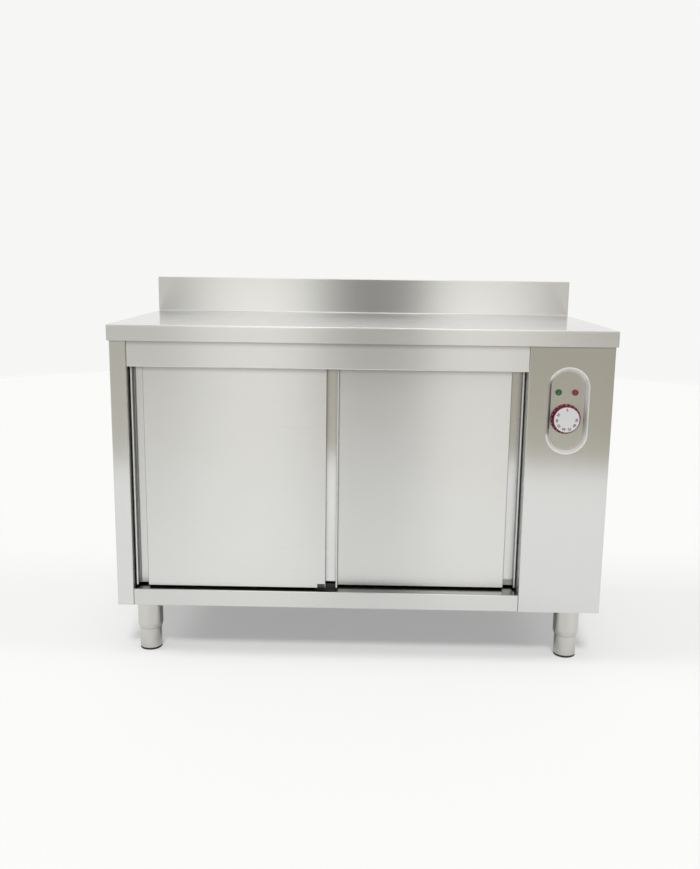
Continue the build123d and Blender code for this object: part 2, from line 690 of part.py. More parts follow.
def make_door_guide():
    """Short guide on the deck where the doors always lap, with one upright blade for each."""
    lanes = [door_centre(face) for face in (LEFT_FACE, RIGHT_FACE)]
    guide = block(GUIDE_ENDS, (lanes[0] - 3, lanes[1] + 3), (SILL, SILL + 1.5))
    for middle in lanes:
        blade = (middle - BLADE / 2, middle + BLADE / 2)
        guide += block(GUIDE_ENDS, blade, (SILL, SILL + BLADE_RISE))
    parts["door_guide"] = guide + guide_pegs(SILL - SHEET - 0.4, SILL, 3)


# ---------------------------------------------------------------- legs
def bolt_places():
    """X, Y of every leg plate bolt."""
    half = BOLT_SPACING / 2
    corners = [(dx, dy) for dx in (-half, half) for dy in (-half, half)]
    return [(x + dx, y + dy) for x, y in LEG_PLACES.values() for dx, dy in corners]


def sleeve_profile(inset):
    """Half section of the upper sleeve, drawn in by inset, as X, Z points."""
    top = LEG_HEIGHT - PLATE_THICKNESS
    tip = FOOT_RADIUS + 0.3 + LEG_WALL - inset
    outer = LEG_RADIUS - inset
    return [(0, LEG_STEP), (tip, LEG_STEP), (outer, LEG_STEP + LEG_TAPER), (outer, top), (0, top)]


def make_legs():
    """Four fixed leg sleeves welded to their plates, the threaded bushes and plate bolts."""
    top = LEG_HEIGHT - PLATE_THICKNESS
    solids = [
        revolve(Plane.XZ * make_face(Polyline(*sleeve_profile(inset), close=True)), Axis.Z)
        for inset in (0, LEG_WALL)
    ]
    sleeve = solids[0] - solids[1]
    plate_span = (-PLATE_SIZE / 2, PLATE_SIZE / 2)
    plate = block(plate_span, plate_span, (top, LEG_HEIGHT))
    half = BOLT_SPACING / 2
    for x in (-half, half):
        for y in (-half, half):
            plate -= rod(4.2, (x, y, top - 1), (x, y, LEG_HEIGHT + 1))
    leg = sleeve + plate
    bush = tube(LEG_RADIUS - LEG_WALL, 6 + 0.1, (0, 0, 96), (0, 0, 114))
    places = [Pos(x, y, 0) for x, y in LEG_PLACES.values()]
    parts["leg_sleeves"] = Part() + [place * leg for place in places]
    parts["leg_bushes"] = Part() + [place * bush for place in places]
    bolt = rod(4, (0, 0, top), (0, 0, LEG_HEIGHT + 5))
    bolt += extrude(Plane.XY.offset(top - 5.3) * RegularPolygon(6.5, 6, major_radius=False), amount=5.3)
    parts["leg_bolts"] = Part() + [Pos(x, y, 0) * bolt for x, y in bolt_places()]


def make_feet():
    """Four adjustable feet: a steel foot sleeve with its threaded stem, and a rubber pad."""
    sleeve = tube(FOOT_RADIUS, FOOT_RADIUS - LEG_WALL, (0, 0, PAD_HEIGHT), (0, 0, 86))
    sleeve += rod(FOOT_RADIUS, (0, 0, PAD_HEIGHT), (0, 0, PAD_HEIGHT + 3))
    sleeve += rod(6, (0, 0, PAD_HEIGHT), (0, 0, 124))
    pad = rod(FOOT_RADIUS - 0.3, (0, 0, 0), (0, 0, PAD_HEIGHT))
    pad = fillet(pad.faces().sort_by(Axis.Z)[0].edges(), 2)
    for name, (x, y) in LEG_PLACES.items():
        parts[f"{name}_foot"] = Pos(x, y, 0) * sleeve
        parts[f"{name}_pad"] = Pos(x, y, 0) * pad


# ---------------------------------------------------------------- electrics and fasteners
def make_terminal_block():
    """Mains terminal block on the floor of the control compartment."""
    x, y, z = (430, 510), (140, 170), (LEG_HEIGHT + SHEET, LEG_HEIGHT + 26)
    terminals = block(x, y, z)
    for index in range(5):
        centre = x[0] + 12 + 14 * index
        terminals -= rod(4, (centre, 155, z[1] - 6), (centre, 155, z[1] + 1))
        terminals -= block((centre - 4, centre + 4), (y[0] - 1, y[0] + 6), (z[0] + 4, z[0] + 12))
    parts["terminal_block"] = terminals


def make_gland():
    """Cable gland through the underside, with its lock nut."""
    x, y = GLAND_PLACE
    low, pan_top = LEG_HEIGHT, LEG_HEIGHT + SHEET
    body = rod(8, (x, y, low), (x, y, pan_top + 10))
    body += extrude(Pos(x, y, low - 7) * RegularPolygon(11, 6, major_radius=False), amount=7)
    cap = rod(10.5, (x, y, low - 26), (x, y, low - 7))
    body += fillet(cap.faces().sort_by(Axis.Z)[0].edges(), 3)
    body -= rod(GLAND_BORE, (x, y, low - 27), (x, y, pan_top + 11))
    hexagon = RegularPolygon(11, 6, major_radius=False) - Circle(8.1)
    nut = extrude(Pos(x, y, pan_top) * hexagon, amount=5)
    parts["cable_gland"] = Part() + [body, nut]


def pan_head(place, direction):
    """A pan head screw whose shank goes in along direction from place."""
    place, direction = Vector(*place), Vector(*direction)
    head = extrude(Plane(origin=place, z_dir=-direction) * Circle(4), amount=2.2)
    far_side = head.faces().sort_by(lambda side: (side.center() - place).length)[-1]
    head = fillet(far_side.edges(), 0.9)
    shank = extrude(Plane(origin=place, z_dir=direction) * Circle(2), amount=6)
    return head + shank


def make_screws():
    """Pan head screws of the back panel and of the control panel's side flange."""
    screws = [pan_head((x, BACK, z), (0, -1, 0)) for x, z in screw_rows()]
    screws += [pan_head((SIDE, FRONT + 12, z), (-1, 0, 0)) for z in flange_screws()]
    parts["casing_screws"] = Part() + screws


def write_parts():
    """Write one STEP file for each piece."""
    os.makedirs("parts", exist_ok=True)
    for node, shape in parts.items():
        export_step(shape, f"parts/{node}.step")
    print(len(parts), "parts written")


make_worktop()
make_stiffeners()
make_left_side()
make_right_side()
make_back_panel()
make_base_pan()
make_header()
make_deck()
make_control_panel()
make_lamps()
make_dial()
make_thermostat()
make_liners()
make_partition()
make_fan()
make_shelf()
make_insulation()
make_doors()
make_door_track()
make_door_guide()
make_legs()
make_feet()
make_terminal_block()
make_gland()
make_screws()
write_parts()
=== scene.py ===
"""Looks of a plate warmer cabinet, dressed round its packed construction model.

The construction model stays where it is. This script gives every node its finish, adds the
pieces that only the eye needs, and sets up the studio. Lengths are metres. X runs to the
right, Y to the back and Z up, from the floor under the middle of the cabinet.
"""

import logging
import math
from collections.abc import Iterable
from dataclasses import dataclass, replace
from enum import Enum
from typing import Any, ClassVar, Union

import bpy
import numpy as np
from mathutils import Matrix, Vector


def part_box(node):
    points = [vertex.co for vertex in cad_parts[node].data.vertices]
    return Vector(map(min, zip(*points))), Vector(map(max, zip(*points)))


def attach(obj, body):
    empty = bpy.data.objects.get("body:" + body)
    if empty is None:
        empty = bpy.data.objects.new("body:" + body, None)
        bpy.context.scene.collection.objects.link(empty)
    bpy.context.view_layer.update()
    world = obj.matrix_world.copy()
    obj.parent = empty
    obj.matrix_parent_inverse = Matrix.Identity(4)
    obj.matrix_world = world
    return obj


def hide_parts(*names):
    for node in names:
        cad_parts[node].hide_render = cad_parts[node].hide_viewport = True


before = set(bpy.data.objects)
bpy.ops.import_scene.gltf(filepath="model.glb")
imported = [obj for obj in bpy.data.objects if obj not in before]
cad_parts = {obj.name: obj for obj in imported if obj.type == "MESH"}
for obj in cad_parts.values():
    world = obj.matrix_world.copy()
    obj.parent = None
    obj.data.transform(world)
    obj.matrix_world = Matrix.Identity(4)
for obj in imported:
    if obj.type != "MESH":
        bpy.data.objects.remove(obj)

LOG = logging.getLogger("plate_warmer")
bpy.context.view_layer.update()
MM = 0.001

Colour = tuple[float, float, float]
Triple = tuple[float, float, float]
Pair = tuple[float, float]
# The lowest and the highest value of a flat top, and the fades below and above it.
Band = tuple[float, float, float, float]


# ------------------------------------------------------------------ nodes as expressions
class Signal:
    """One output socket of a node, on which Python's own operators work."""

    def __init__(self, bench: "Bench", socket: bpy.types.NodeSocket) -> None:
        """Wrap a socket.

        Args:
            bench: The node tree that the socket is in.
            socket: The output socket.
        """
        self.bench = bench
        self.socket = socket

    def _math(self, operation: str, first: "Feed", second: "Feed") -> "Signal":
        """Add the Math node that works out first (operation) second."""
        return self.bench.node("ShaderNodeMath", {"operation": operation}, {0: first, 1: second})

    def __add__(self, other: "Feed") -> "Signal":
        """Sum of the two."""
        return self._math("ADD", self, other)

    __radd__ = __add__

    def __sub__(self, other: "Feed") -> "Signal":
        """This less the other."""
        return self._math("SUBTRACT", self, other)

    def __rsub__(self, other: "Feed") -> "Signal":
        """The other less this."""
        return self._math("SUBTRACT", other, self)

    def __mul__(self, other: "Feed") -> "Signal":
        """Product of the two."""
        return self._math("MULTIPLY", self, other)

    __rmul__ = __mul__

    def __pow__(self, other: "Feed") -> "Signal":
        """This raised to the other."""
        return self._math("POWER", self, other)

    def __abs__(self) -> "Signal":
        """Size of this without its sign."""
        return self._math("ABSOLUTE", self, 0.0)

    def heading(self, other: "Feed") -> "Signal":
        """Angle in radians whose tangent is this over the other."""
        return self._math("ARCTAN2", self, other)

    def step(self, low: float, high: float) -> "Signal":
        """Climb smoothly from 0 at low to 1 at high, or fall if high is the lower one.

        Args:
            low: Value at which the answer is 0.
            high: Value at which the answer is 1.

        Returns:
            The answer, from 0 to 1.
        """
        return self.bench.node(
            "ShaderNodeMapRange",
            {"interpolation_type": "SMOOTHSTEP"},
            {"Value": self, "From Min": low, "From Max": high},
        )

    def hill(self, centre: float, half_width: float) -> "Signal":
        """1 at the centre, falling smoothly to 0 at half_width on either side."""
        return abs(self - centre).step(half_width, 0.0)

    def between(self, low: float, high: float, below: float, above: float | None = None) -> "Signal":
        """1 from low to high, falling smoothly to 0 on either side.

        Args:
            low: Lowest value at which the answer is 1.
            high: Highest value at which the answer is 1.
            below: Length of the fade under low.
            above: Length of the fade over high, left out where it is the same as below.

        Returns:
            The answer, from 0 to 1.
        """
        above = below if above is None else above
        return self.step(low - below, low) * self.step(high + above, high)

    def reach(self, centre: float, other: "Signal", other_centre: float) -> "Signal":
        """Distance of this and the other from their centres: the root of the sum of squares."""
        return ((self - centre) ** 2.0 + (other - other_centre) ** 2.0) ** 0.5


Feed = Union[Signal, float, tuple]


class Bench:
    """The node tree of one material or world, and the one way in which nodes get into it."""

    def __init__(self, tree: bpy.types.NodeTree) -> None:
        """Clear the tree and keep it.

        Args:
            tree: The node tree to work on.
        """
        tree.nodes.clear()
        self.tree = tree

    def node(
        self,
        kind: str,
        settings: dict[str, Any] | None = None,
        inputs: dict[str | int, Any] | None = None,
        output: str | int = 0,
    ) -> Signal:
        """Add a node.

        Args:
            kind: Blender's name for the node's type.
            settings: What is set on the node itself, before its sockets.
            inputs: Values or signals by the name or number of the input socket.
            output: The output socket that the signal is taken from.

        Returns:
            The signal of that output.
        """
        made = self.tree.nodes.new(kind)
        for name, value in (settings or {}).items():
            setattr(made, name, value)
        for key, value in (inputs or {}).items():
            self._feed(made.inputs[key], value)
        return Signal(self, made.outputs[output])

    def _feed(self, socket: bpy.types.NodeSocket, value: Feed) -> None:
        """Link a signal to an input socket, or set the socket's own value.

        Args:
            socket: The input socket.
            value: The signal, number or colour that it gets.
        """
        if isinstance(value, Signal):
            self.tree.links.new(value.socket, socket)
        elif socket.type == "RGBA" and len(value) == 3:
            socket.default_value = (*value, 1.0)
        else:
            socket.default_value = value

    def place(self) -> Signal:
        """The point being shaded, in the cabinet's own coordinates."""
        return self.node("ShaderNodeTexCoord", output="Object")

    def axes(self, vector: Signal) -> tuple[Signal, Signal, Signal]:
        """X, Y and Z of a vector as three signals."""
        made = self.node("ShaderNodeSeparateXYZ", inputs={0: vector}).socket.node
        return tuple(Signal(self, made.outputs[i]) for i in range(3))

    def noise(self, per_metre: Triple | float, detail: float = 2.0, shift: float = 0.0) -> Signal:
        """Cloudy noise from 0 to 1, about 0.5 in the mean.

        Args:
            per_metre: How many features there are in a metre, by axis or the same along all.
            detail: Number of finer layers.
            shift: Moves the pattern, so that two patterns of one scale differ.

        Returns:
            The noise.
        """
        counts = per_metre if isinstance(per_metre, tuple) else (per_metre,) * 3
        placing = {"Vector": self.place(), "Location": (shift,) * 3, "Scale": counts}
        spread = self.node("ShaderNodeMapping", inputs=placing)
        return self.node("ShaderNodeTexNoise", inputs={"Vector": spread, "Scale": 1.0, "Detail": detail})

    def mix(self, first: Feed, second: Feed, share: Feed) -> Signal:
        """A colour that is first at a share of 0 and second at 1."""
        settings = {"data_type": "RGBA", "clamp_factor": True}
        return self.node("ShaderNodeMix", settings, {0: share, 6: first, 7: second}, output=2)

    def tone(self, colour: Feed, strength: Feed) -> Signal:
        """A colour multiplied by a number."""
        settings = {"operation": "SCALE"}
        return self.node("ShaderNodeVectorMath", settings, {"Vector": colour, "Scale": strength})

    def blend(self, first: Signal, second: Signal, share: Feed) -> Signal:
        """A shader that is first at a share of 0 and second at 1."""
        return self.node("ShaderNodeMixShader", inputs={0: share, 1: first, 2: second})

    def relief(self, height: Feed) -> Signal:
        """Normal of a surface that stands proud by height, in metres."""
        return self.node("ShaderNodeBump", inputs={"Strength": 1.0, "Distance": 1.0, "Height": height})

    def coat_of(self, **sockets: Feed) -> Signal:
        """The surface shader with these sockets, written with _ for each space."""
        inputs = {name.replace("_", " "): value for name, value in sockets.items()}
        return self.node("ShaderNodeBsdfPrincipled", inputs=inputs)

    def output(self, shader: Signal, kind: str = "ShaderNodeOutputMaterial") -> None:
        """Send a shader to the tree's output."""
        self._feed(self.tree.nodes.new(kind).inputs["Surface"], shader)


# ------------------------------------------------------------------ finishes
STEEL = (0.75, 0.75, 0.74)
DULL_STEEL = (0.7, 0.7, 0.69)
SHARP = 0.3 * MM  # length over which two finishes of one sheet blend
LENS_RADIUS = 7.5 * MM


def middle_of(node: str) -> Vector:
    """Middle of the box round a construction node."""
    low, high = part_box(node)
    return (low + high) / 2


class Grain(Enum):
    """The axis along which a sheet's polishing lines run."""

    ALONG_X = 0
    ALONG_Z = 2

    def spread(self, along: float, across: float) -> Triple:
        """Features in a metre on each axis, from those along and across the lines."""
        return tuple(along if axis == self.value else across for axis in range(3))

    @property
    def gloss_turn(self) -> float:
        """Turn of the long gloss, as a share of a circle: it lies across the lines."""
        return 0.0 if self is Grain.ALONG_Z else 0.25


@dataclass(frozen=True)
class Finish:
    """A surface finish, which makes its material once and hands it out after that.

    Attributes:
        name: Name of the material.
        slot: The record's material slot that it belongs to; not used by this script.
    """

    name: str
    slot: str

    def material(self) -> bpy.types.Material:
        """The finish as a material.

        Returns:
            The material, the same one at every call.
        """
        made = bpy.data.materials.get(self.name)
        if made is None:
            made = bpy.data.materials.new(self.name)
            made.use_nodes = True
            bench = Bench(made.node_tree)
            bench.output(self.paint(bench))
        return made

    def paint(self, bench: Bench) -> Signal:
        """Add the finish's nodes.

        Args:
            bench: The material's node tree.

        Returns:
            The finished shader.
        """
        raise NotImplementedError


@dataclass(frozen=True)
class PaintedLapShadow:
    """Painted shadow: a darker band on a sheet just under the edge of another that laps over it.

    Attributes:
        height: Z at which the sheet goes out of sight behind the lapping edge.
        reach: Height of the band.
        shade: What the colour is multiplied by at the edge.
    """

    height: float
    reach: float
    shade: float

    def tone(self, bench: Bench) -> Signal:
        """One less the square of a smooth climb over the band's height."""
        climb = bench.axes(bench.place())[2].step(self.height - self.reach, self.height)
        return 1 - climb ** 2.0 * (1 - self.shade)


@dataclass(frozen=True)
class SatinSteel(Finish):
    """Stainless sheet, polished with a belt, so that its gloss is long across the lines.

    Attributes:
        grain: The way the lines run.
        colour: Colour of the bare metal.
        roughness: How soft the gloss is.
        stretch: How much longer the gloss is across the lines than along them, from 0 to 1.
        line_counts: Fine lines in a metre along and across the grain.
        streak_counts: Wider streaks in a metre along and across the grain.
        mark_count: Handling marks in a metre.
        sway_count: Slow waves in a metre.
        tone_shares: How much lines, streaks and marks change the colour.
        gloss_share: How much streaks and marks change the roughness.
        line_depth: Depth of the lines.
        sway_depth: Depth of the slow waves in the sheet.
        painted_lap_shadow: The painted shadow under a lapping edge, if there is one.
    """

    grain: Grain = Grain.ALONG_X
    colour: Colour = STEEL
    roughness: float = 0.24
    stretch: float = 1.0
    line_counts: Pair = (9, 1400)
    streak_counts: Pair = (3, 160)
    mark_count: float = 5
    sway_count: float = 2.3
    tone_shares: Triple = (0.06, 0.03, 0.03)
    gloss_share: float = 0.02
    line_depth: float = 0.0015 * MM
    sway_depth: float = 0.25 * MM
    painted_lap_shadow: PaintedLapShadow | None = None

    def paint(self, bench: Bench) -> Signal:
        """Fine lines and wider streaks along the grain, soft handling marks and a slow sway."""
        return self.sheet(bench)

    def sheet(self, bench: Bench, shade: Feed = 1.0, **options: Any) -> Signal:
        """Add the nodes of the sheet.

        Args:
            bench: The material's node tree.
            shade: Number that the colour is multiplied by.
            options: Values that differ from the finish's own for this part of the surface.

        Returns:
            The shader.
        """
        own = replace(self, **options)
        lines = bench.noise(own.grain.spread(*own.line_counts), detail=3) - 0.5
        streaks = bench.noise(own.grain.spread(*own.streak_counts), shift=5.3) - 0.5
        marks = bench.noise(own.mark_count, detail=3, shift=9.1) - 0.5
        sway = bench.noise(own.sway_count, detail=0, shift=2.7)
        by_line, by_streak, by_mark = own.tone_shares
        tone = (1 + lines * by_line + streaks * by_streak + marks * by_mark) * shade
        # Painted shadow under a lapping edge.
        if own.painted_lap_shadow:
            tone = tone * own.painted_lap_shadow.tone(bench)
        return bench.coat_of(
            Base_Color=bench.tone(own.colour, tone),
            Metallic=1.0,
            Roughness=own.roughness + streaks * own.gloss_share + marks * own.gloss_share,
            Anisotropic=own.stretch,
            Anisotropic_Rotation=own.grain.gloss_turn,
            Normal=bench.relief(lines * own.line_depth + sway * own.sway_depth),
        )


@dataclass(frozen=True)
class DeckSteel(SatinSteel):
    """Folded sheet, whose level deck is rubbed finer than its upright faces.

    Attributes:
        deck_height: Z of the deck.
        deck_back: Y at which the deck ends.
        back_fade: Length over which its finish fades in there.
        deck_roughness: How soft the gloss of the deck is.
        deck_shade: What the deck's colour is multiplied by, painted shade when under 1.
        front: Y of the front edge.
        bend_reach: Distances from the deck and from the front over which the painted highlight fades.
        bend_shade: What the front bend's colour is multiplied by, a painted highlight when over 1.
    """

    deck_height: float = 0.0
    deck_back: float = 1.0
    back_fade: float = 6 * MM
    deck_roughness: float = 0.15
    deck_shade: float = 1.0
    front: float = 0.0
    bend_reach: Pair = (3 * MM, 5 * MM)
    bend_shade: float = 1.0

    def paint(self, bench: Bench) -> Signal:
        """Blend the two sheets by height and depth, with a painted highlight on the front bend.

        Args:
            bench: The material's node tree.

        Returns:
            The finished shader.
        """
        _, depth, height = bench.axes(bench.place())
        level = height.step(self.deck_height - SHARP, self.deck_height)
        level = level * depth.step(self.deck_back, self.deck_back - self.back_fade)
        near, far = self.bend_reach
        bend = height.step(self.deck_height - far, self.deck_height - near)
        bend = bend * depth.step(self.front + far, self.front + near)
        # Painted highlight along the front bend, where bend_shade is over 1.
        painted_bend_highlight = 1 + bend * (self.bend_shade - 1)
        flat = self.sheet(bench, painted_bend_highlight * self.deck_shade, roughness=self.deck_roughness)
        return bench.blend(self.sheet(bench, painted_bend_highlight), flat, level)


@dataclass(frozen=True)
class DoorSteel(SatinSteel):
    """Door sheet, whose finger channels have an upright grain, with painted shade on their walls and
    floor.

    Attributes:
        skin: The door's skin.
        channel: Distances of the channel's two sides from the door's edge.
        depth: Depth of the channel's floor behind the face.
        channel_roughness: How soft the gloss of the channel is.
        side_fade: Half the length over which the left channel turns into the right one.
        floor_shade: What the floor's colour is multiplied by.
        wall_depth: Depths between which the channel's bend turns into its wall.
        wall_shades: What the colour of the left and the right channel's walls is multiplied by.
        edge_reach: Distances from the right edge between which its bend ends.
        right_edge_shade: The right edge's colour is multiplied by this, a painted shadow line.
    """

    skin: str = ""
    channel: Pair = (4.8 * MM, 30.2 * MM)
    depth: float = 19.2 * MM
    channel_roughness: float = 0.2
    side_fade: float = 1 * MM
    floor_shade: float = 0.97
    wall_depth: Pair = (1.2 * MM, 1.6 * MM)
    wall_shades: Pair = (0.15, 0.35)
    edge_reach: Pair = (1.1 * MM, 1.6 * MM)
    right_edge_shade: float = 1.0

    def paint(self, bench: Bench) -> Signal:
        """Tell channel and walls by the distance from the nearer edge and the depth.

        Args:
            bench: The material's node tree.

        Returns:
            The finished shader.
        """
        across, depth, _ = bench.axes(bench.place())
        low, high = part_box(self.skin)
        middle, half_width = (low.x + high.x) / 2, (high.x - low.x) / 2
        inward = half_width - abs(across - middle)
        within = inward.between(*self.channel, SHARP)
        behind = depth - low.y
        floor = behind.step(self.depth - SHARP, self.depth)
        wall = behind.step(*self.wall_depth) * (1 - floor)
        left = across.step(middle + self.side_fade, middle - self.side_fade)
        # Painted shade: the channel's walls are darkened, the left channel's more, and its floor a
        # little.
        left_wall, right_wall = self.wall_shades
        painted_wall_shade = 1 - right_wall + left * (right_wall - left_wall)
        shade = 1 + floor * (self.floor_shade - 1) - wall * painted_wall_shade
        upright = {"grain": Grain.ALONG_Z, "roughness": self.channel_roughness, "sway_depth": 0.0}
        groove = self.sheet(bench, shade, **upright)
        groove = bench.blend(groove, self.sheet(bench, shade, sway_depth=0.0), floor * left)
        # Painted shadow line along the right edge, where the other door lies behind it.
        near, far = self.edge_reach
        edge = (across - middle).step(half_width - far, half_width - near)
        return bench.blend(self.sheet(bench, 1 - edge * (1 - self.right_edge_shade)), groove, within)


@dataclass(frozen=True)
class LegSteel(SatinSteel):
    """Leg tube, with a painted shadow line where the foot slides into its sleeve.

    Attributes:
        line: Z of the line's lower and upper edge, and its fades below and above them.
        painted_line_shade: What the line's colour is multiplied by.
    """

    line: Band = (55.6 * MM, 58.2 * MM, 1 * MM, 0.2 * MM)
    painted_line_shade: float = 0.75

    def paint(self, bench: Bench) -> Signal:
        """Darken the colour between two heights, a painted shadow under the sleeve's end."""
        line = bench.axes(bench.place())[2].between(*self.line)
        return self.sheet(bench, 1 - line * (1 - self.painted_line_shade))


@dataclass(frozen=True)
class PressedSteel(SatinSteel):
    """Control panel sheet, whose pressed pocket has walls with an even, softer gloss.

    Attributes:
        centre: X and Z of the pocket's middle.
        half_straight: Half the length of its straight sides.
        wall: Distances from the pocket's long axis between which its wall lies.
        wall_fade: Length over which the wall's finish fades into the sheet's.
        side_fade: Half the length over which the left wall turns into the right one.
        wall_colour: Colour of the wall.
        wall_roughness: How soft the wall's gloss is.
        dim_height: Heights between which the straight walls are dim, beside the controls.
        dim_shares: How much of the right wall's light is lost there, and how much more of
            the left one's.
        shadow_height: Heights between which the foot of the left wall is in shadow.
        foot_end: Distances from the axis between which the foot ends.
        shadow_share: How much of the light is lost in the shadow.
        bend: How far beyond the foot of the wall its bend lies, and half the bend's width.
        bend_share: How much of the light is lost in the bend.
        mottle_count: Clouds in a metre of the wall.
        mottle: How much they change its colour.
    """

    centre: Pair = (0.490, 0.6395)
    half_straight: float = 54.5 * MM
    wall: Pair = (39.5 * MM, 49.5 * MM)
    wall_fade: float = 1 * MM
    side_fade: float = 5 * MM
    wall_colour: Colour = (0.86, 0.86, 0.84)
    wall_roughness: float = 0.72
    dim_height: Band = (0.590, 0.706, 14 * MM, 14 * MM)
    dim_shares: Pair = (0.12, 0.33)
    shadow_height: Band = (0.598, 0.700, 6 * MM, 6 * MM)
    foot_end: Pair = (45 * MM, 43 * MM)
    shadow_share: float = 0.55
    bend: Pair = (0.8 * MM, 1.6 * MM)
    bend_share: float = 0.3
    mottle_count: float = 200
    mottle: float = 0.06

    def paint(self, bench: Bench) -> Signal:
        """Blend by the distance from the pocket's long axis, which tells the walls apart.

        The straight walls get painted shade beside the controls, the foot of the left one a painted
        shadow, and the bend at the foot of the wall painted shade.

        Args:
            bench: The material's node tree.

        Returns:
            The finished shader.
        """
        across, _, height = bench.axes(bench.place())
        middle, level = self.centre
        beyond = abs(height - level) - self.half_straight
        beyond = (beyond + abs(beyond)) * 0.5
        reach = across.reach(middle, beyond, 0.0)
        inner, outer = self.wall
        wall = reach.between(inner, outer, self.wall_fade)
        left = across.step(middle + self.side_fade, middle - self.side_fade)
        # Painted shade on the straight walls beside the controls, a painted shadow at the left wall's
        # foot and painted shade in the bend.
        both, more = self.dim_shares
        dim = height.between(*self.dim_height) * (both + left * more)
        foot = (middle - across).step(inner - self.wall_fade, inner) * reach.step(*self.foot_end)
        shadow = height.between(*self.shadow_height) * foot * self.shadow_share
        beyond_foot, half_bend = self.bend
        bend = reach.hill(inner + beyond_foot, half_bend) * self.bend_share
        clean = 1 + (bench.noise(self.mottle_count) - 0.5) * self.mottle
        even = bench.coat_of(
            Base_Color=bench.tone(self.wall_colour, clean * (1 - dim) * (1 - shadow) * (1 - bend)),
            Metallic=1.0,
            Roughness=self.wall_roughness,
        )
        return bench.blend(self.sheet(bench), even, wall)


@dataclass(frozen=True)
class PlainMetal(Finish):
    """Metal with an even gloss and a cloudy surface.

    Attributes:
        colour: Colour of the bare metal.
        roughness: How soft the gloss is.
        cloud_count: Clouds in a metre.
        cloud_depth: Height of the clouds.
        cloud_tone: How much they change the colour.
        cloud_gloss: How much they change the roughness.
    """

    colour: Colour
    roughness: float = 0.35
    cloud_count: float = 40
    cloud_depth: float = 0.01 * MM
    cloud_tone: float = 0.15
    cloud_gloss: float = 0.12

    def paint(self, bench: Bench) -> Signal:
        """Cloudy noise in the colour, the gloss and the height.

        Args:
            bench: The material's node tree.

        Returns:
            The finished shader.
        """
        cloud = bench.noise(self.cloud_count, detail=4) - 0.5
        return bench.coat_of(
            Base_Color=bench.tone(self.colour, 1 + cloud * self.cloud_tone),
            Metallic=1.0,
            Roughness=self.roughness + cloud * self.cloud_gloss,
            Normal=bench.relief(cloud * self.cloud_depth),
        )


@dataclass(frozen=True)
class SpangledZinc(Finish):
    """Galvanised sheet, whose zinc has set in flat crystals of slightly different greys.

    Attributes:
        colour: Colour of the zinc.
        crystal_count: Crystals in a metre.
        crystal_tone: How much they differ in colour.
        roughness: How soft the gloss is.
        crystal_gloss: How much they differ in roughness.
    """

    colour: Colour = (0.55, 0.57, 0.58)
    crystal_count: float = 90
    crystal_tone: float = 0.25
    roughness: float = 0.42
    crystal_gloss: float = 0.14

    def paint(self, bench: Bench) -> Signal:
        """One grey and one gloss for each cell of a cell pattern.

        Args:
            bench: The material's node tree.

        Returns:
            The finished shader.
        """
        cells = bench.node(
            "ShaderNodeTexVoronoi",
            inputs={"Vector": bench.place(), "Scale": self.crystal_count},
            output="Color",
        )
        pick = bench.axes(cells)[0] - 0.5
        return bench.coat_of(
            Base_Color=bench.tone(self.colour, 1 + pick * self.crystal_tone),
            Metallic=1.0,
            Roughness=self.roughness + pick * self.crystal_gloss,
        )


@dataclass(frozen=True)
class Moulded(Finish):
    """Moulded plastic, rubber or ceramic with a fine pebbled skin.

    Attributes:
        colour: Colour of the material.
        roughness: How soft the gloss is.
        pebble_count: Pebbles in a metre.
        pebble_depth: Height of the pebbles.
        mottle_count: Clouds in a metre.
        mottle_tone: How much they change the colour.
        mottle_gloss: How much they change the roughness.
    """

    colour: Colour
    roughness: float = 0.45
    pebble_count: float = 900
    pebble_depth: float = 0.01 * MM
    mottle_count: float = 60
    mottle_tone: float = 0.08
    mottle_gloss: float = 0.1

    def paint(self, bench: Bench) -> Signal:
        """Pebbles in the height, and a slow mottle in the colour and the gloss.

        Args:
            bench: The material's node tree.

        Returns:
            The finished shader.
        """
        pebbles = bench.noise(self.pebble_count, detail=1)
        mottle = bench.noise(self.mottle_count, detail=3, shift=4.4) - 0.5
        return bench.coat_of(
            Base_Color=bench.tone(self.colour, 1 + mottle * self.mottle_tone),
            Roughness=self.roughness + mottle * self.mottle_gloss,
            Normal=bench.relief(pebbles * self.pebble_depth),
        )


@dataclass(frozen=True)
class Wool(Finish):
    """Mineral wool: matted fibres that lie mostly along the slab.

    Attributes:
        colour: Colour of the densest wool.
        roughness: How matt it is.
        fibre_counts: Fibres in a metre along each axis.
        tuft_count: Tufts in a metre.
        tone_shares: The share of the colour that is always there, and those that the fibres
            and the tufts add.
        heights: Height of the fibres and of the tufts.
    """

    colour: Colour = (0.42, 0.37, 0.2)
    roughness: float = 0.95
    fibre_counts: Triple = (120, 900, 900)
    tuft_count: float = 35
    tone_shares: Triple = (0.6, 0.5, 0.3)
    heights: Pair = (0.6 * MM, 2 * MM)

    def paint(self, bench: Bench) -> Signal:
        """Long thin noise for the fibres over a cloudy noise for the tufts.

        Args:
            bench: The material's node tree.

        Returns:
            The finished shader.
        """
        fibres = bench.noise(self.fibre_counts, detail=4)
        tufts = bench.noise(self.tuft_count, detail=3, shift=6.2)
        always, by_fibre, by_tuft = self.tone_shares
        fibre_height, tuft_height = self.heights
        return bench.coat_of(
            Base_Color=bench.tone(self.colour, always + fibres * by_fibre + tufts * by_tuft),
            Roughness=self.roughness,
            Normal=bench.relief(fibres * fibre_height + tufts * tuft_height),
        )


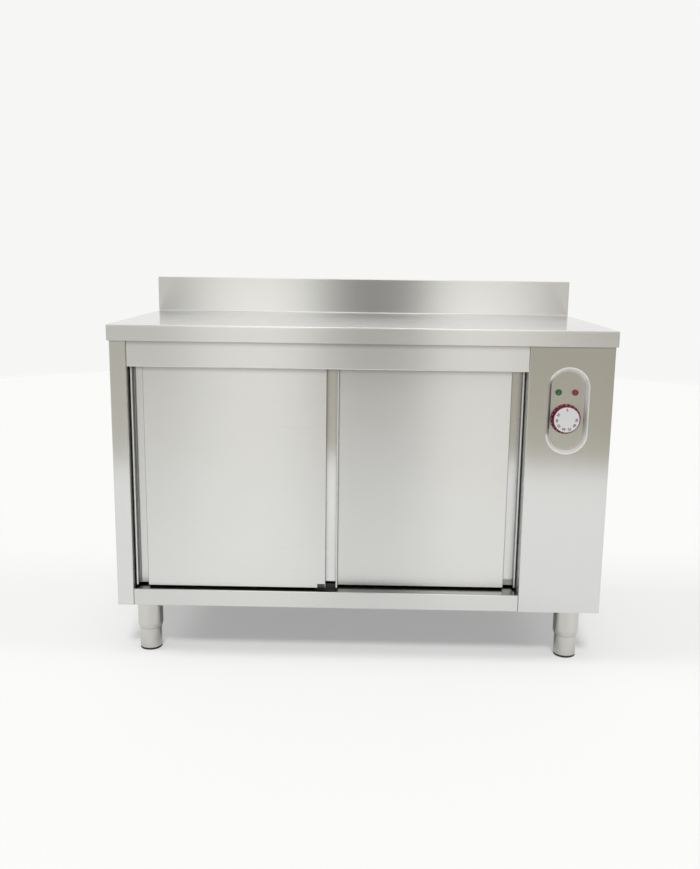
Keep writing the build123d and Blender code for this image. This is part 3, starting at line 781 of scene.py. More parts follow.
@dataclass(frozen=True)
class LampLens(Finish):
    """Clear coloured plastic, darker at the rim than in the middle.

    Attributes:
        colour: Colour at the rim.
        core: Colour in the middle.
        lens: The lens's node.
        core_reach: Distances from the axis between which the rim turns into the middle.
        roughness: How soft the gloss of the rim is.
        core_gloss: How much softer that of the middle is.
        varnish: Share of the clear skin.
    """

    colour: Colour
    core: Colour
    lens: str
    core_reach: Pair = (0.75 * LENS_RADIUS, 0.1 * LENS_RADIUS)
    roughness: float = 0.2
    core_gloss: float = 0.1
    varnish: float = 0.3

    def paint(self, bench: Bench) -> Signal:
        """Colour by the distance from the lamp's axis.

        Args:
            bench: The material's node tree.

        Returns:
            The finished shader.
        """
        across, _, height = bench.axes(bench.place())
        axis = middle_of(self.lens)
        core = across.reach(axis.x, height, axis.z).step(*self.core_reach)
        return bench.coat_of(
            Base_Color=bench.mix(self.colour, self.core, core),
            Roughness=self.roughness + core * self.core_gloss,
            Coat_Weight=self.varnish,
        )


@dataclass(frozen=True)
class FloorPaper(Finish):
    """Matt pale paper that fades out at its rim and isn't seen from below.

    It shows a glow to the camera and in the steel. In the steel the glow is lower just in front of the
    cabinet and under it, a painted shadow seen in reflection, and higher on a patch farther forward,
    a painted pool of light seen in reflection.

    Attributes:
        middle: Y of the middle of the disc, which reaches farther back than forward.
        reach: Radius at which the disc has faded out.
        fade: Radius at which it starts to fade.
        colour: Colour of the paper.
        roughness: How matt it is.
        sheen: How much it mirrors.
        glow: Light that the paper shows.
        near: Distances to the side, and Y, between which the part near the cabinet fades in.
        under: Distances to the side and along Y between which the part under it fades in.
        painted_shadow_share: How much of the glow is lost on each of these two parts.
        patch: Middle and half width, across and along the floor, of the patch farther forward.
        painted_light_share: How much glow is added on the patch.
    """

    name: str = "studio_floor_white"
    slot: str = ""
    middle: float = 1.7
    reach: float = 4.5
    fade: float = 4.2
    colour: Colour = (0.17, 0.17, 0.169)
    roughness: float = 0.9
    sheen: float = 0.1
    glow: float = 0.32
    near: tuple[Pair, Pair] = ((0.72, 0.42), (-0.85, -0.5))
    under: tuple[Pair, Pair] = ((0.52, 0.44), (0.38, 0.28))
    painted_shadow_share: float = 0.3
    patch: tuple[Pair, Pair] = ((0.14, 0.38), (-1.8, 0.9))
    painted_light_share: float = 0.4

    def paint(self, bench: Bench) -> Signal:
        """Blend the paper with nothing at the rim and from below.

        Args:
            bench: The material's node tree.

        Returns:
            The finished shader.
        """
        across, depth, _ = bench.axes(bench.place())
        below = bench.node("ShaderNodeNewGeometry", output="Backfacing")
        camera = bench.node("ShaderNodeLightPath", output="Is Camera Ray")
        glossy = bench.node("ShaderNodeLightPath", output="Is Glossy Ray")
        near = abs(across).step(*self.near[0]) * depth.step(*self.near[1])
        under = abs(across).step(*self.under[0]) * abs(depth).step(*self.under[1])
        patch = across.hill(*self.patch[0]) * depth.hill(*self.patch[1])
        # Glossy rays see a painted shadow near and under the cabinet and a painted pool of light on the
        # patch.
        shown = camera + glossy * (1 - (near + under) * self.painted_shadow_share + patch * self.painted_light_share)
        seen = across.reach(0.0, depth, self.middle).step(self.reach, self.fade) * (1 - below)
        paper = bench.coat_of(
            Base_Color=self.colour,
            Roughness=self.roughness,
            Specular_IOR_Level=self.sheen,
            Emission_Color=bench.tone((1.0, 1.0, 1.0), shown),
            Emission_Strength=self.glow,
        )
        return bench.blend(bench.node("ShaderNodeBsdfTransparent"), paper, seen)


WORKTOP_LOW, WORKTOP_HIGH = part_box("worktop")
UPSTAND_HEIGHT = 98 * MM
UPSTAND_DEPTH = 32 * MM  # with its cove
HEADER_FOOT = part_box("header_rail")[0].z
# Painted shadows on the sheets just under the worktop's lower edge.
POST_PAINTED_SHADOW = PaintedLapShadow(WORKTOP_LOW.z, reach=8 * MM, shade=0.7)
HEADER_PAINTED_SHADOW = PaintedLapShadow(WORKTOP_LOW.z, reach=18 * MM, shade=0.64)
# The worktop's front bend gets a painted highlight.
WORKTOP = DeckSteel(
    "satin_worktop", "worktop_steel", deck_height=WORKTOP_HIGH.z - UPSTAND_HEIGHT,
    deck_back=WORKTOP_HIGH.y - UPSTAND_DEPTH, front=WORKTOP_LOW.y, bend_shade=1.17,
)
LEVEL_CASING = SatinSteel("satin_level_casing", "casing_steel", painted_lap_shadow=HEADER_PAINTED_SHADOW)
UPRIGHT_CASING = SatinSteel(
    "satin_upright_casing", "casing_steel", Grain.ALONG_Z, DULL_STEEL, painted_lap_shadow=POST_PAINTED_SHADOW
)
# The ledge's deck is darkened as painted shade: the shadow under the doors and the dark gap it mirrors.
LEDGE = DeckSteel(
    "satin_ledge", "casing_steel", colour=DULL_STEEL, deck_height=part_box("base_deck")[1].z,
    deck_roughness=0.12, deck_shade=0.64,
)
# Each door skin gets a painted shadow just under the header's lower edge.
LEFT_SKIN = DoorSteel(
    "satin_left_door", "door_steel", skin="left_door_skin",
    painted_lap_shadow=PaintedLapShadow(HEADER_FOOT - 3.5 * MM, reach=14 * MM, shade=0.7), right_edge_shade=0.4,
)
RIGHT_SKIN = DoorSteel(
    "satin_right_door", "door_steel", skin="right_door_skin",
    painted_lap_shadow=PaintedLapShadow(HEADER_FOOT - 5 * MM, reach=15 * MM, shade=0.78),
)
DOOR_BACK = SatinSteel("satin_door_back", "door_steel")
LINER = PlainMetal("mill_liner", "liner_steel", STEEL, roughness=0.34)
PANEL = PressedSteel("satin_panel", "casing_steel", Grain.ALONG_Z, DULL_STEEL, painted_lap_shadow=POST_PAINTED_SHADOW)
LEG_TUBE = LegSteel(
    "satin_leg", "leg_steel", Grain.ALONG_Z, (0.605, 0.595, 0.56), roughness=0.15, stretch=0.6,
    sway_depth=0.0,
)
FASTENER = PlainMetal(
    "plated_fastener", "fastener_steel", (0.6, 0.6, 0.57), roughness=0.3, cloud_count=300
)
ZINC = SpangledZinc("spangled_zinc", "galvanised_steel")
RUBBER = Moulded("ribbed_rubber", "pad_rubber", (0.03, 0.03, 0.03), roughness=0.7)
NYLON = Moulded("turned_nylon", "nylon", (0.75, 0.74, 0.7), roughness=0.4)
GLIDE = Moulded("dark_nylon", "nylon", (0.07, 0.07, 0.072), roughness=0.5)
TRACK = SatinSteel("drawn_aluminium", "aluminium_track", colour=(0.75, 0.76, 0.77), roughness=0.4)
WOOL = Wool("mineral_wool_slab", "mineral_wool")
CORE = Moulded("paper_core", "door_core", (0.5, 0.38, 0.24), roughness=0.9)
MAROON = Moulded("maroon_plastic", "dial_maroon", (0.2, 0.012, 0.04), roughness=0.35)
WHITE = Moulded("white_plastic", "knob_white", (0.82, 0.82, 0.84), roughness=0.3)
BRASS = PlainMetal("turned_brass", "spindle_brass", (0.75, 0.55, 0.25), roughness=0.3)
GREEN = LampLens(
    "green_lens_plastic", "green_lens", (0.012, 0.1, 0.03), core=(0.025, 0.19, 0.05),
    lens="green_lamp_lens",
)
RED = LampLens(
    "red_lens_plastic", "red_lens", (0.2, 0.012, 0.014), core=(0.36, 0.025, 0.025),
    lens="red_lamp_lens",
)
INK = Moulded("dial_ink", "knob_white", (0.03, 0.03, 0.035), roughness=0.5)
PAINT = Moulded("dial_paint", "dial_maroon", (0.75, 0.72, 0.7), roughness=0.5)
BLACK = Moulded("black_plastic_skin", "black_plastic", (0.02, 0.02, 0.022), roughness=0.45)
CASE = Moulded("thermostat_shell", "thermostat_case", (0.5, 0.48, 0.42), roughness=0.5)
CERAMIC = Moulded("glazed_ceramic", "terminal_ceramic", (0.8, 0.78, 0.7), roughness=0.25)
ELEMENT = PlainMetal("heated_sheath", "heater_steel", (0.3, 0.26, 0.24), roughness=0.45)
MOTOR = Moulded("motor_enamel", "motor_paint", (0.05, 0.06, 0.08), roughness=0.4)
WELD = PlainMetal(
    "weld_bead", "leg_steel", (0.5, 0.47, 0.42), roughness=0.4, cloud_count=200,
    cloud_depth=0.03 * MM,
)
IMPELLER = PlainMetal("pressed_aluminium", "impeller_aluminium", (0.78, 0.79, 0.8), roughness=0.35)


# ------------------------------------------------------------------ surfaces
def smooth_step(value: np.ndarray, low: float, high: float) -> np.ndarray:
    """Climb smoothly from 0 at low to 1 at high, or fall if high is the lower one."""
    share = np.clip((value - low) / (high - low), 0, 1)
    return share * share * (3 - 2 * share)


def full_circle(parts: int) -> np.ndarray:
    """Angles that part a circle evenly, the first of them 0."""
    return np.linspace(0, 2 * math.pi, parts, endpoint=False)


def quarter_circle(parts: int) -> np.ndarray:
    """Angles that part a quarter circle evenly, without the 0 at its start."""
    return np.linspace(0, math.pi / 2, parts + 1)[1:]


@dataclass
class Patch:
    """A surface as a grid of points, rows by columns, that can close on itself.

    Attributes:
        points: Array of rows by columns by 3.
        wrap_u: Whether the last row joins the first.
        wrap_v: Whether the last column joins the first.
        cap_start: Whether the first row is closed by one face.
        cap_end: Whether the last row is closed by one face.
    """

    points: np.ndarray
    wrap_u: bool = False
    wrap_v: bool = False
    cap_start: bool = False
    cap_end: bool = False

    def faces(self, first: int) -> list[list[int]]:
        """Corner numbers of every face: four neighbours of the grid, or a whole end row.

        Args:
            first: Number of the surface's first point.

        Returns:
            The corners of each face, anticlockwise as seen from outside.
        """
        rows, columns = self.points.shape[:2]
        number = np.arange(rows * columns).reshape(rows, columns) + first
        if self.wrap_u:
            number = np.vstack([number, number[:1]])
        if self.wrap_v:
            number = np.hstack([number, number[:, :1]])
        quads = np.stack([number[:-1, :-1], number[1:, :-1], number[1:, 1:], number[:-1, 1:]], -1)
        found = quads.reshape(-1, 4).tolist()
        ring = slice(None, -1) if self.wrap_v else slice(None)
        if self.cap_start:
            found.append(number[0, ring].tolist())
        if self.cap_end:
            found.append(number[-1, ring][::-1].tolist())
        return found


@dataclass
class Shell:
    """A surface with its faces written out.

    Attributes:
        points: Array of points by 3.
        corners: The numbers of each face's corners, anticlockwise as seen from outside.
    """

    points: np.ndarray
    corners: list[list[int]]

    def faces(self, first: int) -> list[list[int]]:
        """Corner numbers of every face, counted from first."""
        return [[first + corner for corner in face] for face in self.corners]


Surface = Union[Patch, Shell]


@dataclass(frozen=True)
class Stand:
    """A place on a surface, with the two directions along it as seen from outside.

    Attributes:
        origin: The place.
        across: Unit direction to the right.
        up: Unit direction upwards on the surface.
    """

    origin: Triple
    across: Triple
    up: Triple

    def put(self, local: np.ndarray) -> np.ndarray:
        """Move points given as across, up and out into the cabinet's coordinates."""
        out = np.cross(self.across, self.up)
        return local @ np.array([self.across, self.up, out]) + np.array(self.origin)

    def turned(self, angle: float) -> "Stand":
        """The same place with its directions turned anticlockwise.

        Args:
            angle: The turn in radians.

        Returns:
            The turned stand.
        """
        across, up = np.array(self.across), np.array(self.up)
        turned = across * math.cos(angle) + up * math.sin(angle)
        upward = up * math.cos(angle) - across * math.sin(angle)
        return Stand(self.origin, tuple(turned), tuple(upward))


def front_stand(x: float, y: float, z: float) -> Stand:
    """A stand on a surface that looks to the front."""
    return Stand((x, y, z), (1, 0, 0), (0, 0, 1))


def lathe(stand: Stand, radius: np.ndarray, height: np.ndarray, turns: int) -> Patch:
    """Surface of revolution: each profile point swept round the stand's outward axis.

    Args:
        stand: Where the axis leaves the surface.
        radius: Radii of the profile from the outer end to the inner end.
        height: Heights of the profile along the axis, by profile point and optionally by turn.
        turns: Faces round the axis.

    Returns:
        The closed surface.
    """
    angle = full_circle(turns)
    rise = height[:, None] if height.ndim == 1 else height
    across = radius[:, None] * np.cos(angle)
    local = np.stack([across, radius[:, None] * np.sin(angle), rise + 0 * across], -1)
    return Patch(stand.put(local), wrap_v=True, cap_start=True, cap_end=True)


def bar(stand: Stand, low: Triple, high: Triple) -> Patch:
    """A small block.

    Args:
        stand: Where it stands.
        low: Its lowest corner as across, up and out.
        high: Its highest corner.

    Returns:
        The block as a closed surface.
    """
    across = [low[0], high[0], high[0], low[0]]
    up = [low[1], low[1], high[1], high[1]]
    rows = [np.stack([across, up, [out] * 4], -1) for out in (high[2], low[2])]
    return Patch(stand.put(np.array(rows)), wrap_v=True, cap_start=True, cap_end=True)


def numeral(stand: Stand, text: str, size: float, weight: float, thickness: float) -> Shell:
    """A raised number, centred on its stand.

    Corners that lie on each other become one, to within a ten thousandth of a millimetre.

    Args:
        stand: Where it stands, upright along the stand's up.
        text: The digits.
        size: Height of the type.
        weight: How much its strokes are widened, as a share of the size.
        thickness: How far it stands proud.

    Returns:
        The number as a closed surface.
    """
    curve = bpy.data.curves.new(text, "FONT")
    curve.body = text
    curve.size = size
    curve.extrude = thickness / 2
    curve.offset = size * weight
    curve.align_x, curve.align_y = "CENTER", "CENTER"
    holder = bpy.data.objects.new(text, curve)
    mesh = holder.to_mesh()
    flat = np.empty(3 * len(mesh.vertices))
    mesh.vertices.foreach_get("co", flat)
    points, joined = np.unique(flat.reshape(-1, 3).round(7), axis=0, return_inverse=True)
    corners = [joined[list(face.vertices)].reshape(-1).tolist() for face in mesh.polygons]
    holder.to_mesh_clear()
    bpy.data.objects.remove(holder)
    bpy.data.curves.remove(curve)
    return Shell(stand.put(points + (0, 0, thickness / 2)), corners)


def mesh_piece(name: str, surfaces: Iterable[Surface], smooth: bool = False) -> bpy.types.Object:
    """Join surfaces into one mesh and link it as an object.

    Args:
        name: Name of the piece.
        surfaces: The surfaces that it is made of.
        smooth: Whether it is shaded smooth.

    Returns:
        The new object, at the origin.
    """
    points, faces, count = [], [], 0
    for surface in surfaces:
        faces += surface.faces(count)
        points.append(surface.points.reshape(-1, 3))
        count += len(points[-1])
    mesh = bpy.data.meshes.new(name)
    mesh.from_pydata(np.concatenate(points).tolist(), [], faces)
    if smooth:
        mesh.shade_smooth()
    else:
        mesh.shade_flat()
    mesh.update()
    piece = bpy.data.objects.new(name, mesh)
    bpy.context.scene.collection.objects.link(piece)
    return piece


# ------------------------------------------------------------------ sub-assemblies
class SubAssembly:
    """A group of nodes that are dressed together, with the pieces that belong to them.

    Attributes:
        finishes: The nodes that each finish goes on.
    """

    finishes: ClassVar[dict[Finish, tuple[str, ...]]] = {}

    def build(self) -> None:
        """Dress the nodes, then add the group's own pieces."""
        for finish, nodes in self.finishes.items():
            for node in nodes:
                self.dress(node, finish)
        self.add_pieces()

    def add_pieces(self) -> None:
        """Add what the nodes lack. A plain group adds nothing."""

    def dress(self, node: str, finish: Finish) -> None:
        """Give a construction node its finish.

        Args:
            node: The node's name.
            finish: The finish for its whole surface.
        """
        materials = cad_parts[node].data.materials
        materials.clear()
        materials.append(finish.material())
        LOG.info("dressed %s with %s", node, finish.name)

    def fit(
        self,
        name: str,
        surfaces: Iterable[Surface],
        finish: Finish,
        body: str = "cabinet",
        instead_of: tuple[str, ...] = (),
        smooth: bool = True,
    ) -> bpy.types.Object:
        """Make a piece and fit it to a body.

        Args:
            name: Name of the piece.
            surfaces: Its surfaces.
            finish: Its finish.
            body: The body that it moves with.
            instead_of: Construction nodes that it stands for.
            smooth: Whether it is shaded smooth.

        Returns:
            The piece.
        """
        piece = mesh_piece(name, surfaces, smooth)
        piece.data.materials.append(finish.material())
        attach(piece, body)
        if instead_of:
            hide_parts(*instead_of)
        LOG.info("fitted %s to %s: %d faces", name, body, len(piece.data.polygons))
        return piece


def lay_grain_across(node: str, far: float = 1000.0) -> None:
    """Let a folded sheet's gloss follow lines along X on its level faces too.

    The gloss is laid out from the mesh's texture space, as circles about its middle. A middle
    that is very far away leaves straight lines.

    Args:
        node: The sheet's node.
        far: How far in front of the cabinet the middle is.
    """
    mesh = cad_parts[node].data
    mesh.use_auto_texspace = False
    mesh.texspace_location = (0.0, -far, 0.0)
    mesh.texspace_size = (1.0, 1.0, 1.0)


class Worktop(SubAssembly):
    """The folded worktop with its upstand, and the channels under it."""

    finishes = {WORKTOP: ("worktop",), ZINC: ("worktop_stiffeners",)}

    def add_pieces(self) -> None:
        """Straighten the gloss of the deck."""
        lay_grain_across("worktop")


@dataclass
class Casing(SubAssembly):
    """The outer sheets with their screws.

    Attributes:
        edge_count: Screws along each long edge of the back panel.
        corner_inset: Distance of the first and the last of them from the panel's ends.
        edge_insets: Distances of these screws from the lower and the upper edge.
        side_inset: Distance of the screws up the panel's ends from those.
        side_rows: Z of these screws.
        flange_depth: Y of the screws in the control panel's side flange.
        flange_rows: Z of these screws.
        head_radius: Radius of a screw's head.
        head_rise: Height of a screw's head.
        shank_radius: Radius of a screw's shank.
        shank_length: Length of a screw's shank.
        edge: Radius of the rounding of a head.
        crown_fall: How far the head's parabola would fall by its radius.
        pole: Radius of the flat in the middle of a head.
        slot_width: Half the width of the cross slot's arms.
        slot_sides: Shares of that width between which an arm's side slopes.
        slot_reach: How far the arms reach from the middle.
        slot_end: Share of their reach after which the arms run out.
        slot_depth: Depth of the cross slot.
        crown_points: Points from the middle of a head to its rounding.
        edge_parts: Parts of the rounding.
        turns: Faces round a screw.
        seed: Seed of the screws' random turns.
    """

    edge_count: int = 6
    corner_inset: float = 25 * MM
    edge_insets: Pair = (12 * MM, 14 * MM)
    side_inset: float = 10 * MM
    side_rows: Triple = (0.320, 0.482, 0.644)
    flange_depth: float = -0.283
    flange_rows: Triple = (0.176, 0.482, 0.7685)
    head_radius: float = 4.0 * MM
    head_rise: float = 2.2 * MM
    shank_radius: float = 2.0 * MM
    shank_length: float = 6.0 * MM
    edge: float = 0.9 * MM
    crown_fall: float = 0.3 * MM
    pole: float = 0.02 * MM
    slot_width: float = 0.6 * MM
    slot_sides: Pair = (1.25, 0.75)
    slot_reach: float = 2.3 * MM
    slot_end: float = 0.85
    slot_depth: float = 1.2 * MM
    crown_points: int = 18
    edge_parts: int = 6
    turns: int = 64
    seed: int = 7

    finishes = {
        LEVEL_CASING: ("header_rail", "base_pan"),
        LEDGE: ("base_deck",),
        UPRIGHT_CASING: ("left_side_panel", "right_side_panel", "back_panel"),
        WOOL: ("insulation",),
    }

    def add_pieces(self) -> None:
        """Straighten the gloss of the folded deck and put in the screws."""
        lay_grain_across("base_deck")
        stands = self.back_stands() + self.side_stands()
        turns = np.random.default_rng(self.seed).uniform(0, math.pi / 2, len(stands))
        heads = [self.screw(stand.turned(turn)) for stand, turn in zip(stands, turns)]
        self.fit("cross_head_screws", heads, FASTENER, instead_of=("casing_screws",))

    def back_stands(self) -> list[Stand]:
        """Places of the back panel's screws.

        Returns:
            A stand for each screw, along both long edges and then up both sides.
        """
        low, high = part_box("back_panel")
        lower, upper = self.edge_insets
        first, last = low.x + self.corner_inset, high.x - self.corner_inset
        columns = np.linspace(first, last, self.edge_count).tolist()
        edges = [(x, z) for x in columns for z in (low.z + lower, high.z - upper)]
        ends = low.x + self.side_inset, high.x - self.side_inset
        sides = [(x, z) for x in ends for z in self.side_rows]
        return [Stand((x, high.y, z), (1, 0, 0), (0, 0, -1)) for x, z in edges + sides]

    def side_stands(self) -> list[Stand]:
        """Places of the screws in the control panel's side flange.

        Returns:
            A stand for each screw, from the bottom up.
        """
        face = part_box("control_panel")[1].x
        places = [(face, self.flange_depth, z) for z in self.flange_rows]
        return [Stand(place, (0, 1, 0), (0, 0, 1)) for place in places]

    def screw(self, stand: Stand) -> Patch:
        """A pan head screw.

        The head is a flat parabola of its radius, less a cross slot. The slot's depth is full
        where the point lies within the arms' width of either line through the middle, and it
        runs out smoothly at the arms' sides and over the last part of their reach.

        Args:
            stand: Place of the head's seat.

        Returns:
            The whole screw as one closed surface.
        """
        crown = np.linspace(self.pole, self.head_radius - self.edge, self.crown_points)
        bend = quarter_circle(self.edge_parts)
        rounded = self.head_radius - self.edge * (1 - np.sin(bend))
        shank = [self.head_radius, self.shank_radius, self.shank_radius]
        radius = np.concatenate([crown, rounded, shank])
        top = self.head_rise - self.crown_fall * (crown / self.head_radius) ** 2
        fall = top[-1] - self.edge * (1 - np.cos(bend))
        height = np.concatenate([top, fall, [0, 0, -self.shank_length]])
        angle = full_circle(self.turns)
        across, up = radius[:, None] * np.cos(angle), radius[:, None] * np.sin(angle)
        outer, inner = (share * self.slot_width for share in self.slot_sides)
        inside = [smooth_step(abs(side), outer, inner) for side in (across, up)]
        end = self.slot_reach * self.slot_end
        within = smooth_step(radius, self.slot_reach, end)[:, None]
        cross = np.maximum(*inside) * within * self.slot_depth
        return lathe(stand, radius, height[:, None] - cross, self.turns)


@dataclass
class Controls(SubAssembly):
    """Control panel with its pilot lamps, dial ring, knob and thermostat.

    Attributes:
        tick_count: Ticks round the ring.
        tick_reach: Inner and outer radius of the ticks.
        tick_width: Half the width of a tick.
        top_tick_width: Half the width of the tick at the top.
        mark_reach: Inner and outer radius of the marks beside the numbers.
        mark_width: Half the width of a mark.
        number_radius: Radius of the circle of numbers on the knob.
        number_size: Height of the numbers.
        number_weight: How much their strokes are widened, as a share of the size.
        print_rise: How far ink and paint stand proud.
        lens_rise: How far a lens stands out.
        dome: Share of a lens's radius that its dome takes up.
        dome_fall: How far the dome falls from its middle to its rim.
        dome_rings: Height and pitch of the fine rings in the dome.
        rim_fall: How far the rounding beyond the dome falls.
        neck: Radius and length of a lens's neck through the sheet.
        pole: Radius of the flat in the middle of a lens.
        dome_points: Points from the middle of a lens to its rounding.
        rim_parts: Parts of the rounding.
        turns: Faces round a lens.
        scale: Each number's place in degrees, anticlockwise from the top.
    """

    tick_count: int = 20
    tick_reach: Pair = (32.4 * MM, 35.1 * MM)
    tick_width: float = 0.55 * MM
    top_tick_width: float = 1.0 * MM
    mark_reach: Pair = (27.6 * MM, 29.4 * MM)
    mark_width: float = 0.3 * MM
    number_radius: float = 22.9 * MM
    number_size: float = 8.2 * MM
    number_weight: float = 0.02
    print_rise: float = 0.06 * MM
    lens_rise: float = 4.5 * MM
    dome: float = 0.86
    dome_fall: float = 1.1 * MM
    dome_rings: Pair = (0.05 * MM, 0.9 * MM)
    rim_fall: float = 1.5 * MM
    neck: Pair = (6.0 * MM, 6.0 * MM)
    pole: float = 0.05 * MM
    dome_points: int = 30
    rim_parts: int = 6
    turns: int = 64

    finishes = {
        PANEL: ("control_panel",),
        MAROON: ("dial_ring", "knob_body"),
        WHITE: ("knob_face",),
        BRASS: ("thermostat_spindle",),
        CASE: ("thermostat",),
        BLACK: ("lamp_bodies", "cable_gland"),
        CERAMIC: ("terminal_block",),
    }
    scale: ClassVar[dict[str, float]] = {
        "0": 0, "30": 60, "40": 95, "50": 130, "60": 165, "70": 200, "80": 235, "90": 270,
    }

    def add_pieces(self) -> None:
        """Paint the ring, print the knob and put in the lenses.

        The lenses sit on the same face of the sheet as the ring.
        """
        knob = middle_of("knob_body")
        ring_front, sheet = (corner.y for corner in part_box("dial_ring"))
        ring = front_stand(knob.x, ring_front, knob.z)
        face = front_stand(knob.x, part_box("knob_face")[0].y, knob.z)
        self.fit("dial_ticks", self.ticks(ring), PAINT, smooth=False)
        self.fit("knob_numbers", self.numbers(face), INK, "knob", smooth=False)
        for finish in (GREEN, RED):
            axis = middle_of(finish.lens)
            dome = self.lens(front_stand(axis.x, sheet, axis.z))
            self.fit(f"{finish.lens}_dome", [dome], finish, instead_of=(finish.lens,))

    def ticks(self, ring: Stand) -> list[Patch]:
        """Short bars round the ring, the one at the top wider than the others.

        Args:
            ring: Middle of the ring's front.

        Returns:
            The bars.
        """
        inner, outer = self.tick_reach
        made = []
        for number in range(self.tick_count):
            stand = ring.turned(2 * math.pi * number / self.tick_count)
            half = self.tick_width if number else self.top_tick_width
            made.append(bar(stand, (-half, inner, 0), (half, outer, self.print_rise)))
        return made

    def numbers(self, face: Stand) -> list[Surface]:
        """Temperatures round the knob, each with a mark, and upright when it stands at the top.

        Args:
            face: Middle of the knob's front.

        Returns:
            The numbers and the marks.
        """
        inner, outer = self.mark_reach
        made: list[Surface] = []
        for text, degrees in self.scale.items():
            stand = face.turned(math.radians(degrees))
            place = stand.put(np.array([0, self.number_radius, 0]))
            held = Stand(tuple(place), stand.across, stand.up)
            made.append(numeral(held, text, self.number_size, self.number_weight, self.print_rise))
            low, high = (-self.mark_width, inner, 0), (self.mark_width, outer, self.print_rise)
            made.append(bar(stand, low, high))
        return made

    def lens(self, seat: Stand) -> Patch:
        """A lens: a dome that falls with the square of the radius, with fine rings in it.

        The rings are a cosine of the radius. A quarter of an ellipse rounds off the rim.

        Args:
            seat: Where the lens's axis leaves the sheet.

        Returns:
            The lens and its neck as one closed surface.
        """
        ring_rise, ring_pitch = self.dome_rings
        dome = np.linspace(self.pole, LENS_RADIUS * self.dome, self.dome_points)
        rings = ring_rise * (np.cos(2 * math.pi * dome / ring_pitch) - 1)
        crown = self.lens_rise - self.dome_fall * (dome / dome[-1]) ** 2 + rings
        bend = quarter_circle(self.rim_parts)
        rim = dome[-1] + (LENS_RADIUS - dome[-1]) * np.sin(bend)
        rounding = crown[-1] - self.rim_fall * (1 - np.cos(bend))
        neck_radius, neck_length = self.neck
        radius = np.concatenate([dome, rim, [LENS_RADIUS, neck_radius, neck_radius]])
        height = np.concatenate([crown, rounding, [0, 0, -neck_length]])
        return lathe(seat, radius, height, self.turns)


class Doors(SubAssembly):
    """Both sliding doors with their hangers, rollers and glides, the track and the guide."""

    finishes = {
        LEFT_SKIN: ("left_door_skin",),
        RIGHT_SKIN: ("right_door_skin",),
        DOOR_BACK: ("left_door_back", "right_door_back"),
        CORE: ("left_door_core", "right_door_core"),
        ZINC: ("left_door_hangers", "right_door_hangers"),
        NYLON: (
            "left_door_roller_1", "left_door_roller_2", "right_door_roller_1",
            "right_door_roller_2",
        ),
        GLIDE: ("left_door_glide", "right_door_glide"),
        TRACK: ("door_track",),
        BLACK: ("door_guide",),
    }


class Chamber(SubAssembly):
    """The heated chamber: liners, shelf, and the fan with its duct and heater."""

    finishes = {
        LINER: (
            "back_liner", "left_side_liner", "ceiling_liner", "partition", "shelf",
            "shelf_supports", "fan_guard",
        ),
        ZINC: ("air_duct",),
        ELEMENT: ("heating_element",),
        MOTOR: ("fan_motor",),
        IMPELLER: ("fan_impeller",),
    }


@dataclass
class Legs(SubAssembly):
    """Four round legs on plates, with their welds, feet and pads.

    Attributes:
        tube_radius: Outer radius of a leg's tube.
        plate: Thickness of a leg's plate.
        bead: Radius of the weld bead.
        swell: Shares of the bead's radius that stay and that come and go in the ripples.
        ripples: Ripples round one weld.
        turns: Faces round a weld.
        section_turns: Faces round a weld's section.
        feet: The feet's nodes.
    """

    tube_radius: float = 31.75 * MM
    plate: float = 3 * MM
    bead: float = 1.8 * MM
    swell: Pair = (0.85, 0.15)
    ripples: int = 60
    turns: int = 360
    section_turns: int = 12

    feet: ClassVar[tuple[str, ...]] = (
        "front_left_foot", "front_right_foot", "back_left_foot", "back_right_foot",
    )
    finishes = {
        LEG_TUBE: ("leg_sleeves", *feet),
        RUBBER: ("front_left_pad", "front_right_pad", "back_left_pad", "back_right_pad"),
        NYLON: ("leg_bushes",),
        FASTENER: ("leg_bolts",),
    }

    def add_pieces(self) -> None:
        """Lay the welds between the tubes and their plates."""
        plate_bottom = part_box("leg_sleeves")[1].z - self.plate
        axes = [middle_of(foot) for foot in self.feet]
        self.fit("leg_welds", [self.weld(axis.x, axis.y, plate_bottom) for axis in axes], WELD)

    def weld(self, x: float, y: float, z: float) -> Patch:
        """A ring whose round section swells and shrinks with the cosine of its ripples.

        Args:
            x: X of the leg.
            y: Y of the leg.
            z: Z of the plate's underside.

        Returns:
            The weld as a closed surface.
        """
        circles = full_circle(self.turns), full_circle(self.section_turns)
        round_, section = np.meshgrid(*circles, indexing="ij")
        steady, coming = self.swell
        size = self.bead * (steady + coming * np.cos(self.ripples * round_))
        reach = self.tube_radius + size * np.cos(section)
        height = z + size * np.sin(section)
        points = np.stack([x + reach * np.cos(round_), y + reach * np.sin(round_), height], -1)
        return Patch(points, wrap_u=True, wrap_v=True)


